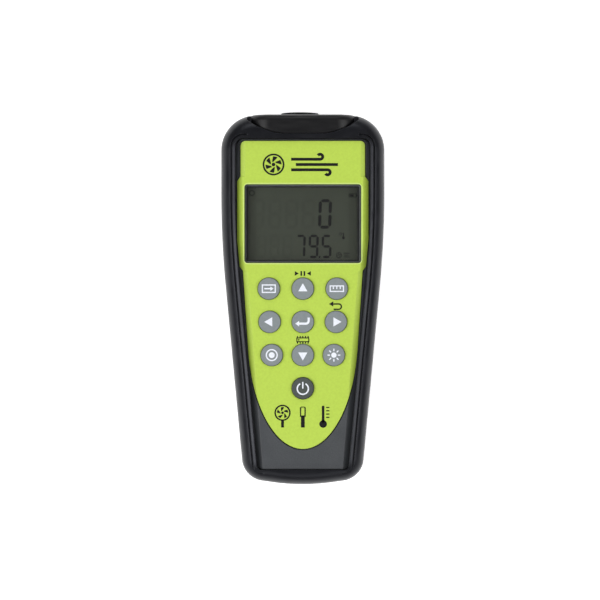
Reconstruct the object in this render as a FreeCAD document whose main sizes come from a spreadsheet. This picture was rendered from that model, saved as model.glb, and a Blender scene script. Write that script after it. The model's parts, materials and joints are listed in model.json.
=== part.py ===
"""Handheld weather meter: a tapered instrument in a rubber boot, with a ten-key face, a
numeric display, a round probe socket in its end, and a battery bay behind a hinged cover.

Frame, in millimetres: the meter lies on its back. X runs across it, Y runs along it towards
the probe socket, Z points out of the face. The origin is on the back face, half way along
the boot. Every size below is a cell of the document's spreadsheet.
"""

import FreeCAD
import Part
import Sketcher
import math
import os

Vector = FreeCAD.Vector

# Driving dimensions: alias, value in millimetres (or a plain count), and what it is.
DIMENSIONS = [
    # boot
    ("boot_length", 190.0, "boot, end to end"),
    ("boot_half_top", 42.0, "half width of the boot's parallel upper part"),
    ("boot_half_base", 30.4, "half width that the tapering sides reach at the base"),
    ("boot_depth", 41.0, "boot, back face to the top of its lip"),
    ("straight_length", 64.0, "boot's end to where its sides begin to taper"),
    ("base_sag", 3.2, "how far the middle of the base stands out past its corners"),
    ("corner_top", 18.0, "plan radius of the boot's upper corners"),
    ("corner_base", 12.0, "plan radius of the boot's lower corners"),
    ("taper_radius", 500.0, "radius that blends the parallel sides into the taper"),
    ("roll_front", 9.0, "roll of the boot's front edge"),
    ("roll_back", 7.0, "roll of the boot's back edge"),
    ("boot_wall", 3.8, "boot wall at the sides"),
    ("boot_back", 3.5, "boot wall at the back"),
    ("lip_width", 7.4, "reach of the lip in from the sides and the base"),
    ("lip_top_width", 12.4, "reach of the lip in from the top end"),
    ("lip_base_width", 7.9, "reach of the lip in from the middle of the base"),
    ("lip_depth", 4.8, "thickness of the lip"),
    ("opening_corner_top", 4.0, "upper corner radius of the face opening"),
    ("opening_corner_base", 2.2, "lower corner radius of the face opening"),
    ("groove_out", 2.4, "groove's outer edge, out from the face opening"),
    ("groove_width", 0.9, "width of the groove"),
    ("groove_drop", 1.8, "floor of the groove below the boot's top"),
    ("groove_gap_top", 28.5, "half of the groove's gap at the boot's upper end"),
    ("groove_gap_base", 20.0, "half of the groove's gap at the boot's base"),
    # rear window and magnets of the boot
    ("window_margin", 2.2, "rear window beyond the battery cover, all round"),
    ("window_corner", 4.0, "corner radius of the rear window"),
    ("magnet_radius", 9.0, "boot magnet"),
    ("magnet_thickness", 2.4, "boot magnet"),
    ("magnet_recess", 0.2, "magnet face below the boot's back face"),
    ("magnet_fit", 0.05, "clearance round a magnet"),
    ("magnet_from_end", 33.0, "magnets, from the boot's ends"),
    # case
    ("case_fit", 0.2, "clearance between boot and case"),
    ("wall", 2.2, "case wall"),
    ("split_height", 21.0, "parting plane of the two housings"),
    ("face_drop", 2.5, "front housing's raised face below the boot's top"),
    ("face_gap", 0.4, "gap between the raised face and the lip"),
    ("face_wall", 3.7, "thickness of the raised face"),
    ("bevel_top", 4.6, "width of the raised face's side bevels, upper end"),
    ("bevel_base", 2.5, "width of the raised face's side bevels, lower end"),
    ("bevel_drop", 2.1, "fall of the raised face's side bevels"),
    ("case_roll_back", 3.0, "roll of the rear housing's back edge"),
    ("seal_inset", 0.7, "seal, in from the case's outside"),
    ("seal_width", 0.8, "section of the seal"),
    ("seal_height", 0.7, "section of the seal"),
    ("seal_fit", 0.04, "clearance round the seal"),
    # end cap
    ("cap_half", 28.4, "half width of the end cap"),
    ("cap_shoulder", 23.0, "half width where the smile's floor begins to slope"),
    ("cap_floor_half", 13.5, "half width of the smile's level floor"),
    ("cap_proud", 0.1, "end cap beyond the boot's end"),
    ("smile_depth", 9.6, "boot's end to the smile's level floor"),
    ("smile_shoulder_depth", 6.0, "boot's end to the smile's shoulder"),
    ("smile_side_depth", 2.4, "boot's end to the top of the smile's sides"),
    ("smile_floor_radius", 25.0, "bend from the smile's floor to its slope"),
    ("smile_shoulder_radius", 12.0, "bend at the smile's shoulder"),
    ("cap_drop", 1.2, "end cap's front below the boot's top"),
    ("cap_lift", 0.3, "end cap's underside above the rear housing's floor"),
    ("cap_corner", 11.5, "rounding of the end cap's long edges"),
    ("cap_end_round", 3.0, "rounding of the end cap's outer end"),
    ("cap_fit", 0.3, "clearance round the end cap"),
    ("cap_wall", 2.5, "end cap wall"),
    ("cap_length", 14.3, "end cap, inner end to outer end"),
    ("flange_reach", 3.1, "reach of the end cap's flange beyond its sides"),
    ("flange_thickness", 2.0, "thickness of the end cap's flange"),
    ("rib_thickness", 1.5, "housing rib that holds that flange"),
    ("rib_inset", 0.8, "that rib's end, in from the line of the case's straight inner wall"),
    # face plate
    ("plate_from_end", 13.6, "face plate's upper edge, from the boot's end"),
    ("plate_margin_top", 2.3, "raised face's edge to the plate, above the display"),
    ("plate_margin_ear", 0.5, "raised face's edge to the plate, beside the display"),
    ("plate_margin_waist", 2.0, "raised face's edge to the plate, below the display"),
    ("plate_margin_hip", 1.3, "raised face's edge to the plate's elliptical end"),
    ("ear_over", 21.85, "wide part of the plate above the display's centre"),
    ("ear_under", 21.95, "wide part of the plate below the display's centre"),
    ("ear_jog", 2.3, "length along Y of the jogs into the wide part"),
    ("ear_bevel", 2.8, "width of the bevel on the wide part"),
    ("ear_bevel_drop", 1.8, "fall of the bevel on the wide part"),
    ("tip_from_display", 55.75, "display's centre to the centre of the elliptical end"),
    ("tip_from_end", 18.6, "plate's lower tip, from the boot's end"),
    ("hip_drop", 9.1, "join of the straight sides to the ellipse, below its centre"),
    ("plate_corner", 2.4, "upper corner radius of the face plate"),
    ("plate_thickness", 2.2, "face plate"),
    ("plate_glue", 0.05, "adhesive under the face plate and the display window"),
    ("plate_proud", 0.3, "face plate above the raised face"),
    ("plate_gap", 0.6, "gap round the face plate"),
    # display
    ("display_from_end", 55.95, "display's centre, from the boot's end"),
    ("lens_width", 59.6, "display window, across"),
    ("lens_length", 40.1, "display window, along"),
    ("lens_corner", 1.2, "corner radius of the display window"),
    ("lens_fit", 0.15, "clearance round the display window"),
    ("lens_thickness", 1.5, "display window"),
    ("lens_ledge", 0.8, "ledge that the window is bonded to"),
    ("view_width", 56.2, "visible glass, across"),
    ("view_length", 37.3, "visible glass, along"),
    ("glass_width", 60.0, "display glass, across"),
    ("glass_length", 43.0, "display glass, along"),
    ("glass_thickness", 2.0, "display glass, both plates together"),
    ("light_width", 57.0, "backlight, across"),
    ("light_length", 36.0, "backlight, along"),
    ("bezel_wall", 1.2, "wall of the display frame"),
    ("bezel_front", 0.8, "front of the display frame"),
    ("bezel_gap", 0.1, "display frame to the housing above it"),
    ("bezel_corner", 1.5, "corner radius of the display frame"),
    ("display_fit", 0.05, "clearance inside the display's stack"),
    ("strip_width", 1.8, "elastomer contact strip"),
    # keys
    ("key_radius", 5.6, "key cap"),
    ("key_hole_fit", 0.18, "clearance round a key in the face plate"),
    ("key_relief", 0.35, "clearance round a key in the housing"),
    ("key_proud", 1.4, "key cap above the face plate"),
    ("key_round", 0.5, "rounded edge of a key cap"),
    ("key_travel", 0.8, "travel of a key"),
    ("key_flange_reach", 1.3, "reach of a key's flange beyond its cap"),
    ("key_flange", 1.0, "thickness of a key's flange"),
    ("key_rest_gap", 0.05, "flange to the underside of the face, at rest"),
    ("stem_radius", 2.2, "key stem"),
    ("dome_gap", 0.05, "stem to its snap dome, fully pressed"),
    ("dome_height", 0.45, "snap dome"),
    ("dome_radius", 3.0, "snap dome"),
    ("dome_top_radius", 1.5, "snap dome's crown"),
    ("first_row", 33.35, "display's centre to the first row of keys"),
    ("row_pitch", 17.0, "distance between rows of keys"),
    ("column_1", 17.4, "outer keys of the first row, from the middle"),
    ("column_2", 17.0, "outer keys of the second row, from the middle"),
    ("column_3", 15.9, "outer keys of the third row, from the middle"),
    # board
    ("board_drop", 4.2, "underside of the face to the top of the main board"),
    ("board_thickness", 1.6, "main board"),
    ("board_margin", 2.8, "main board to the case wall"),
    ("board_from_end", 16.0, "main board's upper edge, from the boot's end"),
    ("board_from_base", 25.0, "main board's lower edge, from the boot's base"),
    ("board_corner", 3.0, "corner radius of the main board"),
    ("mat_thickness", 0.8, "keypad mat"),
    ("mat_half", 22.5, "half width of the keypad mat"),
    ("mat_margin", 8.3, "keypad mat beyond the outer key rows"),
    ("mat_fit", 0.4, "keypad mat round a snap dome"),
    ("mat_corner", 3.0, "corner radius of the keypad mat"),
    # fasteners
    ("boss_radius", 4.0, "screw boss"),
    ("boss_from_side", 12.0, "upper screw bosses, from the boot's sides"),
    ("boss_from_end", 25.0, "upper screw bosses, from the boot's end"),
    ("boss_from_corner", 8.4, "lower screw bosses, from the base's corners"),
    ("boss_from_base", 17.0, "lower screw bosses, from the boot's base"),
    ("screw_radius", 1.5, "case screw thread"),
    ("thread_fit", 0.05, "clearance round a thread"),
    ("screw_fit", 0.2, "clearance round a screw that passes through"),
    ("screw_head_radius", 2.8, "case screw head"),
    ("screw_head", 2.0, "case screw head"),
    ("screw_grip", 8.0, "case screw in the front housing"),
    ("screw_neck", 8.0, "case screw in the rear housing, under its head"),
    ("board_screw_x", 20.0, "board screws, from the middle"),
    ("board_screw_from_end", 29.0, "upper board screws, from the boot's end"),
    ("board_screw_from_base", 33.0, "lower board screws, from the boot's base"),
    ("board_screw_radius", 1.1, "board screw thread"),
    ("board_screw_head_radius", 2.2, "board screw head"),
    ("board_screw_head", 1.2, "board screw head"),
    ("board_screw_grip", 3.0, "board screw in its standoff"),
    ("standoff_radius", 2.6, "board standoff"),
    ("pilot_over", 0.5, "pilot hole beyond a screw's tip"),
    ("drive_share", 0.5, "hexagon of a screw's drive, as a share of its head's radius"),
    ("drive_depth_share", 0.6, "depth of a screw's drive, as a share of its head"),
    # batteries
    ("cell_radius", 7.1, "battery"),
    ("cell_length", 49.2, "battery without its button"),
    ("button_length", 1.2, "battery button"),
    ("button_radius", 2.6, "battery button"),
    ("cell_spacing", 0.1, "gap between batteries"),
    ("cell_fit", 0.15, "clearance round a battery"),
    ("bay_base", -22.0, "inner lower end of the battery bay, along Y"),
    ("tray_wall", 1.0, "wall of the battery tray"),
    ("tray_roof", 1.2, "roof of the battery tray"),
    ("tray_corner", 1.5, "corner radius of the battery tray"),
    ("tray_lift", 0.1, "battery tray above the rear housing's floor"),
    ("cell_lift", 0.3, "batteries above the tray's open side"),
    ("post_radius", 2.5, "post that holds the tray down"),
    ("post_x", 20.0, "tray posts, from the middle"),
    ("post_y", 6.0, "tray posts along Y"),
    ("leaf", 0.4, "thickness of a battery contact"),
    ("leaf_half", 4.5, "half width of a battery contact"),
    ("spring_length", 4.6, "battery spring under load"),
    ("spring_radius", 3.2, "battery spring, to the middle of its wire"),
    ("spring_wire", 0.7, "battery spring wire"),
    ("spring_turns", 3.0, "turns of a battery spring"),
    # battery cover
    ("cover_overlap", 0.3, "battery cover beyond the inside of the tray"),
    ("cover_over", 2.5, "battery cover beyond the tray's upper end"),
    ("hinge_room", 3.5, "battery tray to the cover's hinge edge"),
    ("cover_thickness", 2.0, "battery cover"),
    ("cover_fit", 0.25, "clearance round the battery cover"),
    ("cover_corner", 3.0, "corner radius of the battery cover"),
    ("tab_half", 4.0, "half width of a cover tab"),
    ("tab_x", 16.0, "cover tabs, from the middle"),
    ("tab_reach", 2.4, "cover tab beyond the cover's edge"),
    ("tab_root", 1.6, "root of a cover tab"),
    ("tab_thickness", 1.2, "cover tab"),
    ("tab_gap", 0.2, "cover tab above the rear housing's floor"),
    ("latch_half", 6.0, "half width of the cover's latch tongue"),
    ("latch_slot", 0.8, "slot beside the latch tongue"),
    ("latch_length", 9.0, "length of the latch tongue's slots"),
    ("grip_pitch", 1.8, "distance between the grip ribs on the latch"),
    ("grip_rib", 0.7, "width and height of a grip rib"),
    ("grip_margin", 1.0, "end of a grip rib to the tongue's side"),
    ("grip_from_edge", 2.0, "first grip rib, from the cover's edge"),
    # probe socket
    ("socket_x", -1.5, "probe socket, from the middle"),
    ("socket_height", 22.5, "probe socket's axis above the back"),
    ("socket_bore_radius", 6.75, "bore that takes the probe's plug"),
    ("socket_bore_depth", 8.0, "depth of that bore"),
    ("socket_wall", 1.65, "wall of the socket's barrel"),
    ("ring_reach", 1.4, "socket ring beyond its barrel"),
    ("ring_height", 1.5, "socket ring beyond the end cap"),
    ("ring_round", 0.3, "rounded edge of the socket ring"),
    ("socket_depth", 13.1, "socket behind the end cap's outer face"),
    ("socket_floor", 1.0, "socket's floor"),
    ("socket_fit", 0.15, "clearance of the barrel in the end cap"),
    ("insert_step", 0.4, "step in the bore that the insert sits below"),
    ("insert_fit", 0.05, "clearance of the insert in the barrel"),
    ("pin_circle", 3.8, "radius of the circle of contacts"),
    ("pin_radius", 0.7, "contact"),
    ("pin_recess", 3.0, "contact behind the insert's face"),
    ("tail_margin", 0.6, "hole in the socket's floor beyond the contacts"),
    ("nut_wall", 2.6, "socket nut, thread to flat"),
    ("nut_thickness", 2.4, "socket nut"),
    ("washer_reach", 2.4, "socket washer beyond the barrel"),
    ("washer_thickness", 0.6, "socket washer"),
    ("seat_gap", 0.05, "gap between pieces that seat on each other"),
    ("socket_board_half", 10.5, "half width of the socket board"),
    ("socket_board_thickness", 1.2, "socket board"),
    ("header_half", 7.0, "half width of the board header"),
    ("header_height", 2.6, "board header"),
    ("header_length", 7.0, "board header"),
    # electronics
    ("chip_side", 12.0, "processor"),
    ("chip_height", 1.4, "processor"),
    ("chip_y", -46.0, "processor along Y"),
    ("buzzer_radius", 6.0, "buzzer"),
    ("buzzer_height", 4.0, "buzzer"),
    ("buzzer_x", -12.0, "buzzer, from the middle"),
    ("buzzer_y", -60.0, "buzzer along Y"),
    # allowances for the modelling alone
    ("overrun", 1.0, "how far a cutting piece runs past what it cuts"),
    ("merge", 0.5, "how far a boss or rib runs into the wall that carries it"),
]

doc = FreeCAD.newDocument("weather_meter")
sheet = doc.addObject("Spreadsheet::Sheet", "Dims")
for row, (alias, size, meaning) in enumerate(DIMENSIONS, start=1):
    sheet.set(f"A{row}", meaning)
    sheet.set(f"B{row}", str(size))
    sheet.setAlias(f"B{row}", alias)
doc.recompute()


# ---------------------------------------------------------------- small helpers


def val(expression):
    """The number that an expression over the sheet gives now."""
    result = sheet.evalExpression(str(expression))
    return float(getattr(result, "Value", result))


def bind(obj, **properties):
    """Ties properties to expressions; double underscores stand for dots."""
    for name, expression in properties.items():
        obj.setExpression(name.replace("__", "."), str(expression))


def place(obj, x="0", y="0", z="0"):
    """Ties an object's position to expressions."""
    bind(obj, Placement__Base__x=x, Placement__Base__y=y, Placement__Base__z=z)
    return obj


def body(label):
    made = doc.addObject("PartDesign::Body", label)
    made.Label = label
    return made


def sketch(owner, plane="XY_Plane", offset="0"):
    """A sketch on one of its own body's origin planes, lifted along the plane's normal."""
    made = owner.newObject("Sketcher::SketchObject", "Sketch")
    support = [f for f in owner.Origin.OriginFeatures if f.Role == plane][0]
    made.AttachmentSupport = [(support, "")]
    made.MapMode = "FlatFace"
    made.setExpression(".AttachmentOffset.Base.z", str(offset))
    return made


def pin_point(drawing, geometry, end, x, y, name):
    """Holds one point of a sketch's geometry at a pair of expressions."""
    for axis, expression in (("X", x), ("Y", y)):
        index = drawing.addConstraint(
            Sketcher.Constraint("Distance" + axis, -1, 1, geometry, end, val(expression))
        )
        label = f"{axis.lower()}_{name}"
        drawing.renameConstraint(index, label)
        drawing.setExpression("Constraints." + label, str(expression))


def outline(drawing, corners):
    """A closed anticlockwise outline. Each corner is (x, y) or (x, y, radius), in expressions."""
    spots = [Vector(val(corner[0]), val(corner[1]), 0) for corner in corners]
    count = len(corners)
    first = drawing.GeometryCount
    arrivals, departures, arcs = [], [], []
    for i, corner in enumerate(corners):
        here = spots[i]
        arrive, depart, arc = here, here, None
        if len(corner) == 3:
            radius = val(corner[2])
            back = (spots[i - 1] - here).normalize()
            ahead = (spots[(i + 1) % count] - here).normalize()
            half_angle = back.getAngle(ahead) / 2
            reach = radius / math.tan(half_angle)
            arrive, depart = here + back * reach, here + ahead * reach
            centre = here + (back + ahead).normalize() * (radius / math.sin(half_angle))
            convex = back.cross(ahead).z < 0
            start, finish = (arrive, depart) if convex else (depart, arrive)
            a_start = math.atan2(start.y - centre.y, start.x - centre.x)
            a_finish = math.atan2(finish.y - centre.y, finish.x - centre.x)
            if a_finish < a_start:
                a_finish += 2 * math.pi
            base = Part.Circle(centre, Vector(0, 0, 1), radius)
            arc = (Part.ArcOfCircle(base, a_start, a_finish), (1, 2) if convex else (2, 1))
        arrivals.append(arrive)
        departures.append(depart)
        arcs.append(arc)
    for i in range(count):
        line = Part.LineSegment(departures[i], arrivals[(i + 1) % count])
        drawing.addGeometry(line, False)
    for i, corner in enumerate(corners):
        before, after = first + (i - 1) % count, first + i
        if arcs[i] is None:
            drawing.addConstraint(Sketcher.Constraint("Coincident", before, 2, after, 1))
            pin_point(drawing, after, 1, corner[0], corner[1], f"{after}")
            continue
        shape, (near, far) = arcs[i]
        index = drawing.addGeometry(shape, False)
        spot = drawing.addGeometry(Part.Point(spots[i]), True)
        drawing.addConstraint(Sketcher.Constraint("Tangent", before, 2, index, near))
        drawing.addConstraint(Sketcher.Constraint("Tangent", index, far, after, 1))
        pin_point(drawing, spot, 1, corner[0], corner[1], f"{spot}")
        drawing.addConstraint(Sketcher.Constraint("PointOnObject", spot, 1, before))
        drawing.addConstraint(Sketcher.Constraint("PointOnObject", spot, 1, after))
        held = drawing.addConstraint(Sketcher.Constraint("Radius", index, val(corner[2])))
        drawing.renameConstraint(held, f"r_{index}")
        drawing.setExpression(f"Constraints.r_{index}", str(corner[2]))


def pad(owner, drawing, length):
    made = owner.newObject("PartDesign::Pad", "Pad")
    made.Profile = drawing
    made.setExpression("Length", str(length))
    drawing.Visibility = False
    doc.recompute()
    return made


def revolve(owner, drawing):
    made = owner.newObject("PartDesign::Revolution", "Revolution")
    made.Profile = drawing
    made.ReferenceAxis = (drawing, ["V_Axis"])
    made.Angle = 360
    doc.recompute()
    return made


def edge_names(shape, wanted):
    return [f"Edge{i}" for i, e in enumerate(shape.Edges, start=1) if wanted(e)]


def round_edges(owner, radius, wanted):
    """Rounds the edges of a body's tip that a test picks."""
    base = owner.Tip
    names = edge_names(base.Shape, wanted)
    if not names:
        raise RuntimeError(f"{owner.Label} has no such edge to round")
    made = owner.newObject("PartDesign::Fillet", "Fillet")
    made.Base = (base, names)
    made.setExpression("Radius", str(radius))
    doc.recompute()
    return made


def level_at(height):
    """A test for the edges that lie at one height."""

    def wanted(edge):
        box = edge.BoundBox
        return abs(box.ZMin - val(height)) < 1e-3 and abs(box.ZMax - val(height)) < 1e-3

    return wanted


def cut(label, base, *tools):
    """base less every tool. A list of tools that stand apart from each other is cut at once."""
    for number, tool in enumerate(tools, start=1):
        if isinstance(tool, list):
            tool = group(f"{label}_tools_{number}", tool)
        made = doc.addObject("Part::Cut", f"{label}_cut_{number}")
        made.Base, made.Tool = base, tool
        base = made
    base.Label = label
    return base


def fuse(label, *pieces):
    made = doc.addObject("Part::MultiFuse", label)
    made.Shapes = list(pieces)
    made.Refine = True
    made.Label = label
    return made


def common(label, base, tool):
    made = doc.addObject("Part::Common", label)
    made.Base, made.Tool = base, tool
    made.Label = label
    return made


def group(label, pieces):
    """Identical or related solids that share one node."""
    made = doc.addObject("Part::Compound", label)
    made.Links = list(pieces)
    made.Label = label
    return made


def box(label, x, y, z, length, width, height):
    """A box from its lowest corner and its sizes, all expressions."""
    made = doc.addObject("Part::Box", label)
    bind(made, Length=length, Width=width, Height=height)
    return place(made, x, y, z)


def cylinder(label, radius, height, x="0", y="0", z="0"):
    """An upright cylinder."""
    made = doc.addObject("Part::Cylinder", label)
    bind(made, Radius=radius, Height=height)
    return place(made, x, y, z)


def lying_cylinder(label, radius, length, x, y, z):
    """A cylinder along +Y from y."""
    made = cylinder(label, radius, length, x, y, z)
    made.Placement.Rotation = FreeCAD.Rotation(Vector(1, 0, 0), -90)
    return made


def prism(label, corners, low, high, plane="XY_Plane"):
    """An outline padded between two levels; on XZ_Plane the levels are places along Y."""
    made = body(label)
    drawing = sketch(made, plane, low if plane == "XY_Plane" else f"-({high})")
    outline(drawing, corners)
    pad(made, drawing, f"({high}) - ({low})")
    return made


def turned(label, corners):
    """A profile in radius and height, turned about the body's Z axis."""
    made = body(label)
    drawing = sketch(made, "XZ_Plane")
    outline(drawing, corners)
    revolve(made, drawing)
    return made


def along_y(obj, x, y, z):
    """Turns an upright piece so that its Z axis points along +Y, and places it."""
    obj.Placement.Rotation = FreeCAD.Rotation(Vector(1, 0, 0), -90)
    return place(obj, x, y, z)


def rounded_box(label, half, base, top, low, high, radius):
    """A box about the middle plane with rounded upright edges."""
    corners = [(half, base), (half, top), (f"-({half})", top), (f"-({half})", base)]
    return prism(label, [(x, y, radius) for x, y in corners], low, high)


# ---------------------------------------------------------------- shared levels and outlines

HALF = "(Dims.boot_length / 2)"
TAPER_Y = f"({HALF} - Dims.straight_length)"
CORNER_Y = f"(Dims.base_sag - {HALF})"
SLOPE = f"((Dims.boot_half_top - Dims.boot_half_base) / ({TAPER_Y} - {CORNER_Y}))"
# The base's arc takes half of the run from its middle to each corner, so its corner point
# stands a third of the sag outside it.
BASE_POINT = f"({HALF} + Dims.base_sag / 3)"
BASE_ARC = "(3 * Dims.boot_half_base^2 / (8 * Dims.base_sag))"

CASE = "(Dims.boot_wall + Dims.case_fit)"
INSIDE = f"({CASE} + Dims.wall)"
RAISED = "(Dims.lip_width + Dims.face_gap)"
CASE_BACK = "(Dims.boot_back + Dims.case_fit)"
CASE_FLOOR = f"({CASE_BACK} + Dims.wall)"
LIP_BOTTOM = "(Dims.boot_depth - Dims.lip_depth)"
SHOULDER = f"({LIP_BOTTOM} - Dims.case_fit)"
FACE = "(Dims.boot_depth - Dims.face_drop)"
CEILING = f"({FACE} - Dims.face_wall)"
PLATE_TOP = f"({FACE} + Dims.plate_proud)"
PLATE_LOW = f"({PLATE_TOP} - Dims.plate_thickness)"
PLATE_FLOOR = f"({PLATE_LOW} - Dims.plate_glue)"
BOARD_TOP = f"({CEILING} - Dims.board_drop)"
BOARD_LOW = f"({BOARD_TOP} - Dims.board_thickness)"
# Levels past everything, where the cutting pieces end.
CLEAR = "(Dims.boot_depth + 5)"
BEYOND = f"({HALF} + 5)"

DISPLAY_Y = f"({HALF} - Dims.display_from_end)"
EAR_TOP = f"({DISPLAY_Y} + Dims.ear_over)"
EAR_BASE = f"({DISPLAY_Y} - Dims.ear_under)"
WAIST_Y = f"({EAR_BASE} - Dims.ear_jog)"
TIP_Y = f"(Dims.tip_from_end - {HALF})"
TIP_CENTRE = f"({DISPLAY_Y} - Dims.tip_from_display)"


def side(y):
    """Half width of the boot at a place along Y, at or below the start of the taper."""
    return f"(Dims.boot_half_top - {SLOPE} * ({TAPER_Y} - ({y})))"


def taper_bar(label, inset, low, high, corners=None, top_inset=None, base_inset=None):
    """A block with the boot's tapering outline, moved in by an inset, or with a straight base at its own."""
    top_radius, base_radius = corners or (
        f"(Dims.corner_top - {inset})",
        f"(Dims.corner_base - {inset})",
    )
    blend = f"(Dims.taper_radius - {inset})"
    top_x = f"(Dims.boot_half_top - {inset})"
    top_y = f"({HALF} - {top_inset or inset})"
    base_y = f"({base_inset} - {HALF})" if base_inset else f"({CORNER_Y} + {inset})"
    base_x = f"({side(base_y)} - {inset} * sqrt(1 + {SLOPE}^2))"
    points = [
        (base_x, base_y, base_radius),
        (top_x, TAPER_Y, blend),
        (top_x, top_y, top_radius),
        (f"-{top_x}", top_y, top_radius),
        (f"-{top_x}", TAPER_Y, blend),
        (f"-{base_x}", base_y, base_radius),
    ]
    if not base_inset:
        points.insert(0, ("0", f"({inset} - {BASE_POINT})", f"({BASE_ARC} - {inset})"))
    return prism(label, points, low, high)


def face_opening(label, out, low, high):
    """A block with the outline of the boot's face opening, moved out by a distance."""
    corners = (f"(Dims.opening_corner_top + {out})", f"(Dims.opening_corner_base + {out})")
    return taper_bar(
        label,
        f"(Dims.lip_width - {out})",
        low,
        high,
        corners,
        f"(Dims.lip_top_width - {out})",
        f"(Dims.lip_base_width - {out})",
    )


def bevel_block(label, top):
    """The raised face's two side bevels, as a block that falls away from its flat middle."""
    stations = [
        (HALF, "Dims.boot_half_top", "Dims.bevel_top"),
        (TAPER_Y, "Dims.boot_half_top", "Dims.bevel_top"),
        (f"-{HALF}", side(f"-{HALF}"), "Dims.bevel_base"),
    ]
    made = body(label)
    drawings = []
    # The lower outline lies on the same slopes, three falls down instead of one.
    for falls in (0, 3):
        drawing = sketch(made, offset=f"({top}) - {falls} * Dims.bevel_drop")
        right = [(f"({edge} - {RAISED} + {falls - 1} * {width})", y) for y, edge, width in stations]
        left = [(f"-{x}", y) for x, y in right]
        outline(drawing, left + right[::-1])
        drawings.append(drawing)
    loft = made.newObject("PartDesign::AdditiveLoft", "Loft")
    loft.Profile = drawings[0]
    loft.Sections = [drawings[1]]
    loft.Ruled = True
    doc.recompute()
    return made


def plate_main(label, grow, low, high):
    """The face plate's outline without its ears, grown by a gap: straight sides and an ellipse."""
    top_half = f"(Dims.boot_half_top - {RAISED} - Dims.plate_margin_top + {grow})"
    waist_half = f"({side(WAIST_Y)} - {RAISED} - Dims.plate_margin_waist + {grow})"
    ellipse_half = f"({side(TIP_CENTRE)} - {RAISED} - Dims.plate_margin_hip + {grow})"
    ellipse_reach = f"({TIP_CENTRE} - {TIP_Y} + {grow})"
    hip_half = f"({ellipse_half} * sqrt(1 - (Dims.hip_drop / {ellipse_reach})^2))"
    hip_y = f"({TIP_CENTRE} - Dims.hip_drop)"
    right = [
        (hip_half, hip_y),
        (waist_half, WAIST_Y),
        (top_half, DISPLAY_Y),
        (top_half, f"({HALF} - Dims.plate_from_end + {grow})", "Dims.plate_corner"),
    ]
    left = [(f"-{corner[0]}",) + corner[1:] for corner in reversed(right)]
    upper = prism(f"{label}_sides", right + left, low, high)
    ring = doc.addObject("Part::Ellipse", f"{label}_ellipse")
    bind(ring, MajorRadius=ellipse_reach, MinorRadius=ellipse_half)
    ring.Placement.Rotation = FreeCAD.Rotation(Vector(0, 0, 1), 90)
    place(ring, "0", TIP_CENTRE, low)
    end = doc.addObject("Part::Extrusion", f"{label}_end")
    end.Base = ring
    end.DirMode = "Custom"
    end.Dir = Vector(0, 0, 1)
    end.Solid = True
    bind(end, LengthFwd=f"({high}) - ({low})")
    doc.recompute()
    return fuse(label, upper, end)


def plate_ears(label, grow, low, high, side_grow):
    """The wide part of the face plate beside the display."""
    top_half = f"(Dims.boot_half_top - {RAISED} - Dims.plate_margin_top + {grow})"
    waist_half = f"({side(WAIST_Y)} - {RAISED} - Dims.plate_margin_waist + {grow})"
    ear_half = f"(Dims.boot_half_top - {RAISED} - Dims.plate_margin_ear + {side_grow})"
    ear_low = f"({side(EAR_BASE)} - {RAISED} - Dims.plate_margin_ear + {side_grow})"
    right = [
        (waist_half, f"({WAIST_Y} - {grow})"),
        (ear_low, f"({EAR_BASE} - {grow})"),
        (ear_half, TAPER_Y),
        (ear_half, f"({EAR_TOP} + {grow})"),
        (top_half, f"({EAR_TOP} + Dims.ear_jog + {grow})"),
    ]
    left = [(f"-{x}", y) for x, y in reversed(right)]
    return prism(label, right + left, low, high)


def display_prism(label, width, length, low, high, radius=None):
    """A block centred on the display, with rounded upright edges where a radius is given."""
    half, reach = f"(({width}) / 2)", f"(({length}) / 2)"
    base, top = f"({DISPLAY_Y} - {reach})", f"({DISPLAY_Y} + {reach})"
    if radius:
        return rounded_box(label, half, base, top, low, high, radius)
    return box(label, f"-{half}", base, low, width, length, f"({high}) - ({low})")


def smile(label, fit, low, high):
    """The bowl-shaped patch of the end cap that shows in the boot's top end."""
    half = f"(Dims.cap_half + {fit})"
    shoulder = f"(Dims.cap_shoulder + {fit})"
    floor = f"(Dims.cap_floor_half + {fit})"
    side_y = f"({HALF} - Dims.smile_side_depth - {fit})"
    shoulder_y = f"({HALF} - Dims.smile_shoulder_depth - {fit})"
    floor_y = f"({HALF} - Dims.smile_depth - {fit})"
    right = [
        (floor, floor_y, "Dims.smile_floor_radius"),
        (shoulder, shoulder_y, "Dims.smile_shoulder_radius"),
        (half, side_y),
        (half, BEYOND),
    ]
    left = [(f"-{corner[0]}",) + corner[1:] for corner in reversed(right)]
    return prism(label, right + left, low, high)


def cap_block(label, grow, near, far):
    """The end cap's rounded cross-section, grown by a clearance or shrunk by a wall."""
    half = f"(Dims.cap_half + {grow})"
    low = f"({CASE_FLOOR} + Dims.cap_lift - {grow})"
    high = f"(Dims.boot_depth - Dims.cap_drop + {grow})"
    corner = f"(Dims.cap_corner + {grow})"
    spots = [(half, low), (half, high), (f"-{half}", high), (f"-{half}", low)]
    return prism(label, [(x, z, corner) for x, z in spots], near, far, "XZ_Plane")


def each_corner(label, radius, low, high, places):
    """Upright cylinders at places mirrored about the middle."""
    made = []
    for number, (x, y) in enumerate(places, start=1):
        for hand, sign in (("right", ""), ("left", "-")):
            name = f"{label}_{number}_{hand}"
            made.append(cylinder(name, radius, f"({high}) - ({low})", f"{sign}({x})", y, low))
    return made


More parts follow.
